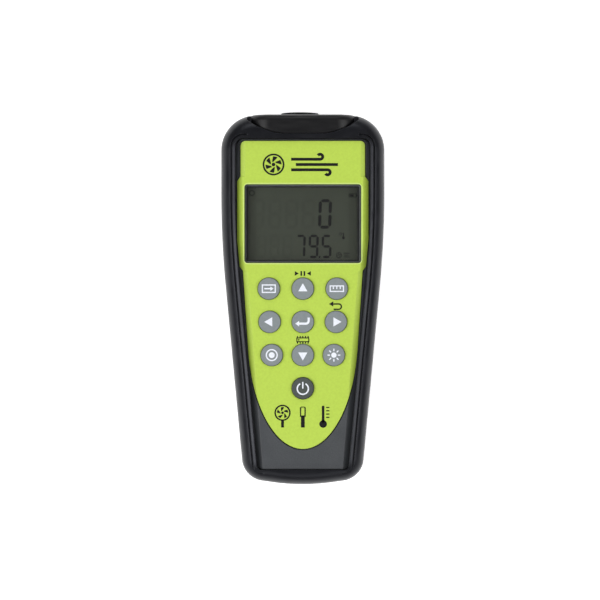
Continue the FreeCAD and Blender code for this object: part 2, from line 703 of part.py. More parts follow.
CASE_SCREWS = [
    ("Dims.boot_half_top - Dims.boss_from_side", f"{HALF} - Dims.boss_from_end"),
    ("Dims.boot_half_base - Dims.boss_from_corner", f"Dims.boss_from_base - {HALF}"),
]
BOARD_SCREWS = [
    ("Dims.board_screw_x", f"{HALF} - Dims.board_screw_from_end"),
    ("Dims.board_screw_x", f"Dims.board_screw_from_base - {HALF}"),
]
KEYS = {}
for key_row, column, names in (
    (0, "Dims.column_1", ("key_duct", "key_up", "key_unit")),
    (1, "Dims.column_2", ("key_left", "key_enter", "key_right")),
    (2, "Dims.column_3", ("key_record", "key_down", "key_light")),
):
    for place_x, name in zip((f"-{column}", "0", column), names):
        KEYS[name] = (place_x, f"({DISPLAY_Y} - Dims.first_row - {key_row} * Dims.row_pitch)")
KEYS["key_power"] = ("0", f"({DISPLAY_Y} - Dims.first_row - 3 * Dims.row_pitch)")


def key_cylinders(label, radius, low, high):
    """A cylinder at every key."""
    return [
        cylinder(f"{label}_{name}", radius, f"({high}) - ({low})", x, y, low)
        for name, (x, y) in KEYS.items()
    ]


# ---------------------------------------------------------------- rubber boot

SLOT_BASE = f"({HALF} - Dims.cap_length + Dims.cap_proud)"
COVER_BASE = "(Dims.bay_base - Dims.tray_wall - Dims.hinge_room)"
BAY_LENGTH = (
    "(2 * Dims.leaf + Dims.spring_length + Dims.cell_length + Dims.button_length)"
)
BAY_TOP = f"(Dims.bay_base + {BAY_LENGTH})"
COVER_TOP = f"({BAY_TOP} + Dims.tray_wall + Dims.cover_over)"
CELL_PITCH = "(2 * Dims.cell_radius + Dims.cell_spacing)"
CELLS = 4
BAY_HALF = f"({(CELLS - 1) / 2} * {CELL_PITCH} + Dims.cell_radius + Dims.cell_fit)"
COVER_HALF = f"({BAY_HALF} + Dims.cover_overlap)"
MAGNETS = (f"{HALF} - Dims.magnet_from_end", f"Dims.magnet_from_end - {HALF}")
CAP_FRONT_LOW = f"({CEILING} - Dims.cap_fit)"


def magnet_set(label, low, fit):
    """Two discs in the boot's back, from a level up, grown by a clearance."""
    height = f"(Dims.magnet_recess + Dims.magnet_thickness + {fit} - ({low}))"
    return [
        cylinder(f"{label}_{number}", f"Dims.magnet_radius + {fit}", height, "0", y, low)
        for number, y in enumerate(MAGNETS, start=1)
    ]


def boot_groove():
    """The groove beside the face opening, round its corners, with a gap at the top and the base."""
    floor = "Dims.boot_depth - Dims.groove_drop"
    width = "Dims.groove_width"
    outer = face_opening("groove_outer", "Dims.groove_out", floor, CLEAR)
    inner = face_opening(
        "groove_inner", f"(Dims.groove_out - {width})", f"{floor} - Dims.overrun", f"{CLEAR} + Dims.overrun"
    )
    top, base = "Dims.groove_gap_top", "Dims.groove_gap_base"
    gaps = [
        box("groove_gap_top", f"-{top}", "0", "0", f"2 * {top}", BEYOND, CLEAR),
        box("groove_gap_base", f"-{base}", f"-{HALF}", "0", f"2 * {base}", HALF, CLEAR),
    ]
    return cut("boot_groove", outer, inner, *gaps)


def rubber_boot():
    blank = taper_bar("boot_blank", "0", "0", "Dims.boot_depth")
    round_edges(blank, "Dims.roll_front", level_at("Dims.boot_depth"))
    round_edges(blank, "Dims.roll_back", level_at("0"))
    inside = taper_bar("boot_inside", "Dims.boot_wall", "Dims.boot_back", LIP_BOTTOM)
    round_edges(inside, "Dims.case_roll_back + Dims.case_fit", level_at("Dims.boot_back"))
    opening = face_opening("boot_opening", "0", f"{LIP_BOTTOM} - Dims.overrun", CLEAR)
    window = rounded_box(
        "boot_window",
        f"{COVER_HALF} + Dims.window_margin",
        f"{COVER_BASE} - Dims.window_margin",
        f"{COVER_TOP} + Dims.window_margin",
        "-Dims.overrun",
        "Dims.boot_back + Dims.overrun",
        "Dims.window_corner",
    )
    slot = cap_block("boot_slot", "Dims.cap_fit", f"{HALF} - Dims.boot_wall - Dims.overrun", BEYOND)
    bowl = smile("boot_smile", "Dims.cap_fit", f"{LIP_BOTTOM} - Dims.overrun", CLEAR)
    pockets = magnet_set("magnet_pocket", "-Dims.overrun", "Dims.magnet_fit")
    return cut("rubber_boot", blank, inside, opening, window, slot, bowl, boot_groove(), pockets)


# ---------------------------------------------------------------- case

def seal_ring(label, fit):
    """The seal's run round the parting plane, open where the end cap passes through."""
    low, high = "Dims.split_height", f"Dims.split_height + Dims.seal_height + {fit}"
    start = f"({CASE} + Dims.seal_inset - {fit})"
    end = f"({CASE} + Dims.seal_inset + Dims.seal_width + {fit})"
    outer = taper_bar(f"{label}_outer", start, low, high)
    inner = taper_bar(f"{label}_inner", end, f"{low} - Dims.overrun", f"{high} + Dims.overrun")
    return cut(label, outer, inner)


def cap_ribs(label, low, high):
    """Ribs at both sides of a housing that hold the end cap's flange."""
    near = f"({SLOT_BASE} + Dims.flange_thickness + Dims.case_fit)"
    inner = "(Dims.cap_half + 2 * Dims.cap_fit)"
    outer = f"(Dims.boot_half_top - {INSIDE} - Dims.rib_inset)"
    width = f"({outer} - {inner})"
    return [
        box(f"{label}_right", inner, near, low, width, "Dims.rib_thickness", f"({high}) - ({low})"),
        box(f"{label}_left", f"-{outer}", near, low, width, "Dims.rib_thickness", f"({high}) - ({low})"),
    ]


def front_housing():
    split = "Dims.split_height"
    block = taper_bar("front_block", CASE, split, SHOULDER)
    raised = common(
        "front_raised",
        face_opening("front_raised_blank", "(0 - Dims.face_gap)", f"{SHOULDER} - Dims.overrun", FACE),
        bevel_block("front_bevels", FACE),
    )
    inside = taper_bar("front_inside", INSIDE, split, CEILING)
    shell = cut("front_shell", fuse("front_solid", block, raised), inside)
    bosses = each_corner("front_boss", "Dims.boss_radius", split, f"{CEILING} + Dims.merge", CASE_SCREWS)
    standoffs = each_corner(
        "front_standoff", "Dims.standoff_radius", BOARD_TOP, f"{CEILING} + Dims.merge", BOARD_SCREWS
    )
    ribs = cap_ribs("front_rib", split, f"{CEILING} + Dims.merge")
    whole = fuse("front_whole", shell, *bosses, *standoffs, *ribs)
    pilots = each_corner(
        "front_pilot",
        "Dims.screw_radius + Dims.thread_fit",
        f"{split} - Dims.overrun",
        f"{split} + Dims.screw_grip + Dims.pilot_over",
        CASE_SCREWS,
    )
    board_pilots = each_corner(
        "front_board_pilot",
        "Dims.board_screw_radius + Dims.thread_fit",
        f"{BOARD_TOP} - Dims.overrun",
        f"{BOARD_TOP} + Dims.board_screw_grip + Dims.pilot_over",
        BOARD_SCREWS,
    )
    keyholes = key_cylinders(
        "front_keyhole", "Dims.key_radius + Dims.key_relief", f"{CEILING} - Dims.overrun", CLEAR
    )
    ledge = "2 * Dims.lens_ledge"
    window = display_prism(
        "front_window",
        f"Dims.lens_width - {ledge}",
        f"Dims.lens_length - {ledge}",
        f"{CEILING} - Dims.overrun",
        CLEAR,
    )
    pocket = plate_main("front_pocket", "Dims.plate_gap", PLATE_FLOOR, CLEAR)
    reach = "Dims.plate_margin_ear + Dims.overrun"
    ears = plate_ears("front_ears", "Dims.plate_gap", PLATE_FLOOR, CLEAR, reach)
    slot = cap_block("front_slot", "Dims.cap_fit", f"{HALF} - {INSIDE} - Dims.overrun", BEYOND)
    bowl = smile("front_smile", "Dims.cap_fit", f"{CEILING} - Dims.overrun", CLEAR)
    groove = seal_ring("front_groove", "Dims.seal_fit")
    return cut(
        "front_housing",
        whole,
        pilots + board_pilots + keyholes,
        window,
        pocket,
        ears,
        common("front_slot_low", slot, under("front_under", CEILING)),
        bowl,
        groove,
    )


def under(label, level):
    """Everything below a level."""
    edge = "Dims.boot_length"
    return box(label, f"-{edge}", f"-{edge}", "0", f"2 * {edge}", f"2 * {edge}", level)


def rear_housing():
    split = "Dims.split_height"
    block = taper_bar("rear_block", CASE, CASE_BACK, split)
    round_edges(block, "Dims.case_roll_back", level_at(CASE_BACK))
    inside = taper_bar("rear_inside", INSIDE, CASE_FLOOR, split)
    bosses = each_corner("rear_boss", "Dims.boss_radius", f"{CASE_FLOOR} - Dims.merge", split, CASE_SCREWS)
    ribs = cap_ribs("rear_rib", f"{CASE_FLOOR} - Dims.merge", split)
    whole = fuse("rear_whole", cut("rear_shell", block, inside), *bosses, *ribs)
    opening = rounded_box(
        "rear_opening",
        f"{COVER_HALF} + Dims.cover_fit",
        f"{COVER_BASE} - Dims.cover_fit",
        f"{COVER_TOP} + Dims.cover_fit",
        f"{CASE_BACK} - Dims.overrun",
        f"{CASE_FLOOR} + Dims.overrun",
        "Dims.cover_corner + Dims.cover_fit",
    )
    passages = each_corner(
        "rear_passage",
        "Dims.screw_radius + Dims.screw_fit",
        CASE_BACK,
        f"{split} + Dims.overrun",
        CASE_SCREWS,
    )
    sinks = each_corner(
        "rear_sink",
        "Dims.screw_head_radius + Dims.screw_fit",
        f"{CASE_BACK} - Dims.overrun",
        f"{split} - Dims.screw_neck",
        CASE_SCREWS,
    )
    slot = cap_block("rear_slot", "Dims.cap_fit", f"{HALF} - {INSIDE} - Dims.overrun", BEYOND)
    return cut("rear_housing", whole, opening, passages, sinks, slot)


def case_seal():
    ring = seal_ring("seal_ring", "0")
    slot = cap_block("seal_slot", "2 * Dims.cap_fit", f"{HALF} - {INSIDE} - Dims.overrun", BEYOND)
    return cut("case_seal", ring, slot)


def screw_set(label, places, head_low, head, head_radius, radius, tip):
    """Socket-headed screws whose heads face the back."""
    made = []
    for number, (x, y) in enumerate(places, start=1):
        for hand, sign in (("right", ""), ("left", "-")):
            name = f"{label}_{number}_{hand}"
            spot_x = f"{sign}({x})"
            cap = cylinder(f"{name}_head", head_radius, head, spot_x, y, head_low)
            shank = cylinder(f"{name}_shank", radius, f"({tip}) - ({head_low})", spot_x, y, head_low)
            drive = doc.addObject("Part::Prism", f"{name}_drive")
            drive.Polygon = 6
            bind(
                drive,
                Circumradius=f"{head_radius} * Dims.drive_share",
                Height=f"{head} * Dims.drive_depth_share",
            )
            place(drive, spot_x, y, head_low)
            made.append(cut(name, fuse(f"{name}_body", cap, shank), drive))
    return group(label, made)


# ---------------------------------------------------------------- end cap and probe socket

CAP_END = f"({HALF} + Dims.cap_proud)"
BARREL = "(Dims.socket_bore_radius + Dims.socket_wall)"
RING = f"({BARREL} + Dims.ring_reach)"
SOCKET_BACK = f"({CAP_END} - Dims.socket_depth)"
SOCKET_FRONT = f"({CAP_END} + Dims.ring_height)"
INSERT_FRONT = f"({SOCKET_FRONT} - Dims.socket_bore_depth)"
INSERT_SEAT = "(Dims.socket_bore_radius - Dims.insert_step)"
SOCKET_BOARD_Y = f"({SOCKET_BACK} - Dims.seat_gap - Dims.socket_board_thickness)"


def end_cap():
    block = cap_block("cap_blank", "0", SLOT_BASE, CAP_END)
    round_edges(block, "Dims.cap_end_round", at_far_end(CAP_END))
    low = common("cap_low", block, under("cap_under", CAP_FRONT_LOW))
    bowl = smile("cap_smile", "0", f"{CAP_FRONT_LOW} - Dims.overrun", CLEAR)
    high = common("cap_high", block, bowl)
    flange_half = "(Dims.cap_half + Dims.flange_reach)"
    flange = box(
        "cap_flange",
        f"-{flange_half}",
        SLOT_BASE,
        f"{CASE_FLOOR} + Dims.cap_lift",
        f"2 * {flange_half}",
        "Dims.flange_thickness",
        f"{CAP_FRONT_LOW} - {CASE_FLOOR} - Dims.cap_lift",
    )
    ceiling = f"{CAP_END} - Dims.cap_wall"
    hollow = cap_block("cap_hollow", "(0 - Dims.cap_wall)", f"{SLOT_BASE} - Dims.overrun", ceiling)
    hole = lying_cylinder(
        "cap_hole",
        f"{BARREL} + Dims.socket_fit",
        "Dims.cap_wall + 2 * Dims.overrun",
        "Dims.socket_x",
        f"{CAP_END} - Dims.cap_wall - Dims.overrun",
        "Dims.socket_height",
    )
    return cut("end_cap", fuse("cap_whole", low, high, flange), hollow, hole)


def at_far_end(level):
    """A test for the edges that lie at one place along Y."""

    def wanted(edge):
        bounds = edge.BoundBox
        return abs(bounds.YMin - val(level)) < 1e-3 and abs(bounds.YMax - val(level)) < 1e-3

    return wanted


def probe_socket():
    bore, depth = "Dims.socket_bore_radius", "Dims.socket_depth"
    tail_hole = "(Dims.pin_circle + Dims.pin_radius + Dims.tail_margin)"
    profile = [
        (tail_hole, f"-{depth}"),
        (BARREL, f"-{depth}"),
        (BARREL, "0"),
        (RING, "0"),
        (RING, "Dims.ring_height", "Dims.ring_round"),
        (bore, "Dims.ring_height"),
        (bore, "Dims.ring_height - Dims.socket_bore_depth"),
        (INSERT_SEAT, "Dims.ring_height - Dims.socket_bore_depth"),
        (INSERT_SEAT, f"Dims.socket_floor - {depth}"),
        (tail_hole, f"Dims.socket_floor - {depth}"),
    ]
    return along_y(turned("probe_socket", profile), "Dims.socket_x", CAP_END, "Dims.socket_height")


def pin_places():
    """The contacts stand on a circle, one every 60 degrees, with one in the middle."""
    spots = [("Dims.socket_x", "Dims.socket_height")]
    for turn in range(6):
        cosine, sine = f"cos({60 * turn} deg)", f"sin({60 * turn} deg)"
        spots.append(
            (
                f"Dims.socket_x + Dims.pin_circle * {cosine}",
                f"Dims.socket_height + Dims.pin_circle * {sine}",
            )
        )
    return spots


def socket_insert():
    low = f"({SOCKET_BACK} + Dims.socket_floor + Dims.seat_gap)"
    disc = lying_cylinder(
        "insert_disc",
        f"{INSERT_SEAT} - Dims.insert_fit",
        f"{INSERT_FRONT} - {low}",
        "Dims.socket_x",
        low,
        "Dims.socket_height",
    )
    radius = "Dims.pin_radius + Dims.insert_fit"
    length = f"{INSERT_FRONT} - {low} + 2 * Dims.overrun"
    holes = [
        lying_cylinder(f"insert_hole_{n}", radius, length, x, f"{low} - Dims.overrun", z)
        for n, (x, z) in enumerate(pin_places())
    ]
    return cut("socket_insert", disc, holes)


def socket_contacts():
    low = f"({SOCKET_BOARD_Y} + Dims.socket_board_thickness)"
    length = f"({INSERT_FRONT} - Dims.pin_recess - {low})"
    return group(
        "socket_contacts",
        [
            lying_cylinder(f"contact_{n}", "Dims.pin_radius", length, x, low, z)
            for n, (x, z) in enumerate(pin_places())
        ],
    )


def socket_hardware():
    wall_inside = f"({CAP_END} - Dims.cap_wall)"
    washer_low = f"({wall_inside} - Dims.seat_gap - Dims.washer_thickness)"
    nut_low = f"({washer_low} - Dims.seat_gap - Dims.nut_thickness)"
    spot = ("Dims.socket_x", nut_low, "Dims.socket_height")
    nut = doc.addObject("Part::Prism", "nut_blank")
    nut.Polygon = 6
    bind(nut, Circumradius=f"({BARREL} + Dims.nut_wall) / cos(30 deg)", Height="Dims.nut_thickness")
    along_y(nut, *spot)
    thread = lying_cylinder("nut_thread", f"{BARREL} + Dims.thread_fit", "Dims.nut_thickness", *spot)
    cut("socket_nut", nut, thread)
    spot = ("Dims.socket_x", washer_low, "Dims.socket_height")
    disc = lying_cylinder(
        "washer_disc", f"{BARREL} + Dims.washer_reach", "Dims.washer_thickness", *spot
    )
    hole = lying_cylinder(
        "washer_hole", f"{BARREL} + Dims.socket_fit", "Dims.washer_thickness", *spot
    )
    cut("socket_washer", disc, hole)


def socket_electronics():
    half = "Dims.socket_board_half"
    box(
        "socket_board",
        f"Dims.socket_x - {half}",
        SOCKET_BOARD_Y,
        f"Dims.socket_height - {half}",
        f"2 * {half}",
        "Dims.socket_board_thickness",
        f"2 * {half}",
    )
    box(
        "board_header",
        "Dims.socket_x - Dims.header_half",
        f"{SOCKET_BOARD_Y} - Dims.header_length",
        f"{BOARD_LOW} - Dims.header_height",
        "2 * Dims.header_half",
        "Dims.header_length",
        "Dims.header_height",
    )


# ---------------------------------------------------------------- face plate and display

def face_plate():
    main = plate_main("plate_blank", "0", PLATE_LOW, PLATE_TOP)
    slope = common("plate_slope", main, bevel_block("plate_bevels", PLATE_TOP))
    ears = plate_ears("plate_ears", "0", PLATE_LOW, PLATE_TOP, "0")
    base = ears.Tip
    made = ears.newObject("PartDesign::Chamfer", "Chamfer")
    made.Base = (base, edge_names(base.Shape, ear_edges()))
    made.ChamferType = "Two distances"
    bind(made, Size="Dims.ear_bevel_drop", Size2="Dims.ear_bevel")
    doc.recompute()
    window = display_prism(
        "plate_window",
        "Dims.lens_width + 2 * Dims.lens_fit",
        "Dims.lens_length + 2 * Dims.lens_fit",
        f"{PLATE_LOW} - Dims.overrun",
        CLEAR,
        "Dims.lens_corner + Dims.lens_fit",
    )
    holes = key_cylinders(
        "plate_keyhole", "Dims.key_radius + Dims.key_hole_fit", f"{PLATE_LOW} - Dims.overrun", CLEAR
    )
    return cut("face_plate", fuse("plate_whole", slope, ears), window, holes)


def ear_edges():
    """A test for the upper edges of the ears' long sides."""

    def wanted(edge):
        bounds = edge.BoundBox
        level = abs(bounds.ZMin - val(PLATE_TOP)) < 1e-3 and abs(bounds.ZMax - val(PLATE_TOP)) < 1e-3
        return level and bounds.YLength > 2 * val("Dims.ear_jog") and bounds.XLength < bounds.YLength

    return wanted


def display_stack():
    lens_low = f"({PLATE_FLOOR} + Dims.plate_glue)"
    display_prism(
        "display_window",
        "Dims.lens_width",
        "Dims.lens_length",
        lens_low,
        f"{lens_low} + Dims.lens_thickness",
        "Dims.lens_corner",
    )
    frame_top = f"({CEILING} - Dims.bezel_gap)"
    inner_top = f"({frame_top} - Dims.bezel_front)"
    room = "2 * Dims.display_fit"
    wall = f"({room} + 2 * Dims.bezel_wall)"
    blank = display_prism(
        "frame_blank",
        f"Dims.glass_width + {wall}",
        f"Dims.glass_length + {wall}",
        f"{BOARD_TOP} + Dims.display_fit",
        frame_top,
        "Dims.bezel_corner",
    )
    inside = display_prism(
        "frame_inside",
        f"Dims.glass_width + {room}",
        f"Dims.glass_length + {room}",
        f"{BOARD_TOP} - Dims.overrun",
        inner_top,
    )
    view = display_prism("frame_view", "Dims.view_width", "Dims.view_length", BOARD_TOP, CLEAR)
    cut("lcd_frame", blank, inside, view)
    glass_top = f"({inner_top} - Dims.display_fit)"
    glass_low = f"({glass_top} - Dims.glass_thickness)"
    display_prism("lcd_glass", "Dims.glass_width", "Dims.glass_length", glass_low, glass_top)
    display_prism(
        "lcd_backlight",
        "Dims.light_width",
        "Dims.light_length",
        f"{BOARD_TOP} + Dims.display_fit",
        f"{glass_low} - Dims.display_fit",
    )
    strips = []
    for hand, edge in (
        ("upper", f"{DISPLAY_Y} + Dims.glass_length / 2 - Dims.strip_width"),
        ("lower", f"{DISPLAY_Y} - Dims.glass_length / 2"),
    ):
        strips.append(
            box(
                f"strip_{hand}",
                "-Dims.light_width / 2",
                edge,
                BOARD_TOP,
                "Dims.light_width",
                "Dims.strip_width",
                f"{glass_low} - {BOARD_TOP}",
            )
        )
    group("lcd_contact_strips", strips)


# ---------------------------------------------------------------- keys

def keys():
    flange_top = f"({CEILING} - Dims.key_rest_gap)"
    flange_low = f"({flange_top} - Dims.key_flange)"
    stem_low = f"({BOARD_TOP} + Dims.dome_height + Dims.dome_gap + Dims.key_travel)"
    top = f"({PLATE_TOP} + Dims.key_proud)"
    flange = "(Dims.key_radius + Dims.key_flange_reach)"
    profile = [
        ("0", stem_low),
        ("Dims.stem_radius", stem_low),
        ("Dims.stem_radius", flange_low),
        (flange, flange_low),
        (flange, flange_top),
        ("Dims.key_radius", flange_top),
        ("Dims.key_radius", top, "Dims.key_round"),
        ("0", top),
    ]
    for name, (x, y) in KEYS.items():
        place(turned(name, profile), x, y)


def keypad():
    first, last = KEYS["key_up"][1], KEYS["key_power"][1]
    sheet_top = f"({BOARD_TOP} + Dims.mat_thickness)"
    mat = rounded_box(
        "mat_blank",
        "Dims.mat_half",
        f"{last} - Dims.mat_margin",
        f"{first} + Dims.mat_margin",
        BOARD_TOP,
        sheet_top,
        "Dims.mat_corner",
    )
    holes = key_cylinders("mat_hole", "Dims.dome_radius + Dims.mat_fit", f"{BOARD_TOP} - Dims.overrun", CLEAR)
    cut("keypad_mat", mat, holes)
    domes = []
    for name, (x, y) in KEYS.items():
        dome = doc.addObject("Part::Cone", f"dome_{name}")
        bind(dome, Radius1="Dims.dome_radius", Radius2="Dims.dome_top_radius", Height="Dims.dome_height")
        domes.append(place(dome, x, y, BOARD_TOP))
    group("key_domes", domes)


# ---------------------------------------------------------------- board

def main_board():
    half_top = f"(Dims.boot_half_top - {INSIDE} - Dims.board_margin)"
    base_y = f"(Dims.board_from_base - {HALF})"
    half_base = f"({side(base_y)} - {INSIDE} - Dims.board_margin)"
    top_y = f"({HALF} - Dims.board_from_end)"
    corner = "Dims.board_corner"
    right = [(half_base, base_y, corner), (half_top, TAPER_Y), (half_top, top_y, corner)]
    left = [(f"-{spot[0]}",) + spot[1:] for spot in reversed(right)]
    blank = prism("board_blank", right + left, BOARD_LOW, BOARD_TOP)
    notches = each_corner(
        "board_notch",
        "Dims.boss_radius + 2 * Dims.screw_fit",
        f"{BOARD_LOW} - Dims.overrun",
        CLEAR,
        CASE_SCREWS[:1],
    )
    holes = each_corner(
        "board_hole",
        "Dims.board_screw_radius + Dims.screw_fit",
        f"{BOARD_LOW} - Dims.overrun",
        CLEAR,
        BOARD_SCREWS,
    )
    return cut("main_board", blank, notches + holes)


def under_board(label, x, y, length, width, height):
    """A box soldered to the board's underside, from its middle."""
    return box(
        label,
        f"{x} - ({length}) / 2",
        f"{y} - ({width}) / 2",
        f"{BOARD_LOW} - ({height})",
        length,
        width,
        height,
    )


# Small parts by name: place along X, place along Y from the processor, and length, width, height.
SMALL_PARTS = [
    ("capacitor_1", "-12.5", "10", "2", "1.25", "0.9"),
    ("capacitor_2", "-7.5", "10", "2", "1.25", "0.9"),
    ("capacitor_3", "-2.5", "10", "2", "1.25", "0.9"),
    ("capacitor_4", "2.5", "10", "2", "1.25", "0.9"),
    ("capacitor_5", "7.5", "10", "2", "1.25", "0.9"),
    ("capacitor_6", "12.5", "10", "2", "1.25", "0.9"),
    ("crystal", "11.5", "0", "3.2", "8", "2.5"),
    ("memory", "-12", "0", "5", "6", "1.5"),
    ("regulator", "12", "-11", "6.5", "3.5", "1.7"),
]


def electronics():
    side_length = "Dims.chip_side"
    under_board("main_chip", "0", "Dims.chip_y", side_length, side_length, "Dims.chip_height")
    cylinder(
        "buzzer",
        "Dims.buzzer_radius",
        "Dims.buzzer_height",
        "Dims.buzzer_x",
        "Dims.buzzer_y",
        f"{BOARD_LOW} - Dims.buzzer_height",
    )
    group(
        "board_components",
        [
            under_board(name, x, f"Dims.chip_y + {y}", length, width, height)
            for name, x, y, length, width, height in SMALL_PARTS
        ],
    )


# ---------------------------------------------------------------- batteries and cover

TRAY_LOW = f"({CASE_FLOOR} + Dims.tray_lift)"
CELL_HEIGHT = f"({TRAY_LOW} + Dims.cell_lift + Dims.cell_radius)"
TRAY_INSIDE = f"({CELL_HEIGHT} + Dims.cell_radius + Dims.cell_fit)"
TRAY_TOP = f"({TRAY_INSIDE} + Dims.tray_roof)"


def cell_x(number):
    """A cell's place across the bay."""
    return f"({number - (CELLS - 1) / 2}) * {CELL_PITCH}"


def battery_tray():
    half = f"({BAY_HALF} + Dims.tray_wall)"
    outer = rounded_box(
        "tray_blank",
        half,
        "Dims.bay_base - Dims.tray_wall",
        f"{BAY_TOP} + Dims.tray_wall",
        TRAY_LOW,
        TRAY_TOP,
        "Dims.tray_corner",
    )
    inner = box(
        "tray_inside",
        f"-{BAY_HALF}",
        "Dims.bay_base",
        f"{TRAY_LOW} - Dims.overrun",
        f"2 * {BAY_HALF}",
        BAY_LENGTH,
        f"{TRAY_INSIDE} - {TRAY_LOW} + Dims.overrun",
    )
    posts = each_corner(
        "tray_post",
        "Dims.post_radius",
        f"{TRAY_TOP} - Dims.merge",
        f"{BOARD_LOW} - Dims.seat_gap",
        [("Dims.post_x", "Dims.post_y")],
    )
    return fuse("battery_tray", cut("tray_shell", outer, inner), *posts)


def batteries():
    """Four cells side by side, every second one turned end for end."""
    low_leaf = "(Dims.bay_base + Dims.leaf)"
    cells, springs = [], []
    for number in range(CELLS):
        x = cell_x(number)
        button_low = number % 2 == 1
        body_y = f"{low_leaf} + " + ("Dims.button_length" if button_low else "Dims.spring_length")
        button_y = low_leaf if button_low else f"{body_y} + Dims.cell_length"
        spring_y = f"{body_y} + Dims.cell_length" if button_low else low_leaf
        can = lying_cylinder(
            f"cell_can_{number}", "Dims.cell_radius", "Dims.cell_length", x, body_y, CELL_HEIGHT
        )
        button = lying_cylinder(
            f"cell_button_{number}", "Dims.button_radius", "Dims.button_length", x, button_y, CELL_HEIGHT
        )
        cells.append(fuse(f"cell_{number}", can, button))
        springs.append(battery_spring(f"spring_{number}", x, spring_y))
    group("batteries", cells)
    group("battery_springs", springs)


def battery_spring(label, x, y):
    """A coil of round wire between a contact and a battery's flat end."""
    rise = "(Dims.spring_length - Dims.spring_wire)"
    path = doc.addObject("Part::Helix", f"{label}_path")
    bind(path, Pitch=f"{rise} / Dims.spring_turns", Height=rise, Radius="Dims.spring_radius")
    path.SegmentLength = 1
    ring = doc.addObject("Part::Circle", f"{label}_section")
    bind(ring, Radius="Dims.spring_wire / 2")
    ring.Placement.Rotation = FreeCAD.Rotation(Vector(1, 0, 0), 90)
    place(ring, "Dims.spring_radius")
    doc.recompute()
    wire = doc.addObject("Part::Sweep", label)
    wire.Sections = [ring]
    wire.Spine = (path, [f"Edge{i}" for i in range(1, len(path.Shape.Edges) + 1)])
    wire.Solid = True
    wire.Frenet = True
    return along_y(wire, x, f"{y} + Dims.spring_wire / 2", CELL_HEIGHT)


def battery_plates():
    """Contacts at both ends of the bay: joined pairs below, a pair and two singles above."""
    made = []
    ends = (
        ("low", "Dims.bay_base", ((0, 1), (2, 3))),
        ("high", f"{BAY_TOP} - Dims.leaf", ((0, 0), (1, 2), (3, 3))),
    )
    for end, y, spans in ends:
        for first, last in spans:
            made.append(
                box(
                    f"leaf_{end}_{first}",
                    f"{cell_x(first)} - Dims.leaf_half",
                    y,
                    f"{CELL_HEIGHT} - Dims.leaf_half",
                    f"{last - first} * {CELL_PITCH} + 2 * Dims.leaf_half",
                    "Dims.leaf",
                    "2 * Dims.leaf_half",
                )
            )
    return group("battery_plates", made)


GRIP_RIBS = 4


def battery_cover():
    inner_face = f"({CASE_BACK} + Dims.cover_thickness)"
    panel = rounded_box(
        "cover_panel", COVER_HALF, COVER_BASE, COVER_TOP, CASE_BACK, inner_face, "Dims.cover_corner"
    )
    hook_low = f"({CASE_FLOOR} + Dims.tab_gap)"
    pieces = [panel]
    for hand, sign in (("right", ""), ("left", "-")):
        x = f"{sign}Dims.tab_x - Dims.tab_half"
        root_height = f"{hook_low} + Dims.tab_thickness - {CASE_BACK}"
        pieces.append(
            box(
                f"tab_root_{hand}",
                x,
                COVER_BASE,
                CASE_BACK,
                "2 * Dims.tab_half",
                "Dims.tab_root",
                root_height,
            )
        )
        pieces.append(
            box(
                f"tab_hook_{hand}",
                x,
                f"{COVER_BASE} - Dims.tab_reach",
                hook_low,
                "2 * Dims.tab_half",
                "Dims.tab_reach + Dims.tab_root",
                "Dims.tab_thickness",
            )
        )
    for number in range(GRIP_RIBS):
        pieces.append(
            box(
                f"grip_{number}",
                "Dims.grip_margin - Dims.latch_half",
                f"{COVER_TOP} - Dims.grip_from_edge - {number} * Dims.grip_pitch",
                f"{CASE_BACK} - Dims.grip_rib",
                "2 * (Dims.latch_half - Dims.grip_margin)",
                "Dims.grip_rib",
                "2 * Dims.grip_rib",
            )
        )
    slots = [
        box(
            f"latch_slot_{hand}",
            x,
            f"{COVER_TOP} - Dims.latch_length",
            "0",
            "Dims.latch_slot",
            "Dims.latch_length + Dims.overrun",
            CLEAR,
        )
        for hand, x in (("right", "Dims.latch_half"), ("left", "-Dims.latch_half - Dims.latch_slot"))
    ]
    return cut("battery_cover", fuse("cover_whole", *pieces), slots)


# ---------------------------------------------------------------- build and write

rubber_boot()
group("boot_magnets", magnet_set("magnet", "Dims.magnet_recess", "0"))
front_housing()
rear_housing()
case_seal()
HEAD_LOW = "(Dims.split_height - Dims.screw_neck - Dims.screw_head)"
screw_set(
    "case_screws",
    CASE_SCREWS,
    HEAD_LOW,
    "Dims.screw_head",
    "Dims.screw_head_radius",
    "Dims.screw_radius",
    "Dims.split_height + Dims.screw_grip",
)
end_cap()
probe_socket()
socket_insert()
socket_contacts()
socket_hardware()
socket_electronics()
face_plate()
display_stack()
keys()
keypad()
main_board()
electronics()
screw_set(
    "board_screws",
    BOARD_SCREWS,
    f"({BOARD_LOW} - Dims.seat_gap - Dims.board_screw_head)",
    "Dims.board_screw_head",
    "Dims.board_screw_head_radius",
    "Dims.board_screw_radius",
    f"{BOARD_TOP} + Dims.board_screw_grip",
)
battery_tray()
batteries()
battery_plates()
battery_cover()
doc.recompute()

NODES = [
    "rubber_boot",
    "boot_magnets",
    "front_housing",
    "rear_housing",
    "case_seal",
    "case_screws",
    "end_cap",
    "probe_socket",
    "socket_insert",
    "socket_contacts",
    "socket_nut",
    "socket_washer",
    "socket_board",
    "board_header",
    "face_plate",
    "display_window",
    "lcd_frame",
    "lcd_glass",
    "lcd_backlight",
    "lcd_contact_strips",
    *KEYS,
    "keypad_mat",
    "key_domes",
    "main_board",
    "main_chip",
    "board_components",
    "buzzer",
    "board_screws",
    "battery_tray",
    "batteries",
    "battery_springs",
    "battery_plates",
    "battery_cover",
]

for item in doc.Objects:
    if "Invalid" in item.State or "Error" in item.State:
        raise RuntimeError(f"{item.Name} ({item.Label}) did not build: {item.State}")

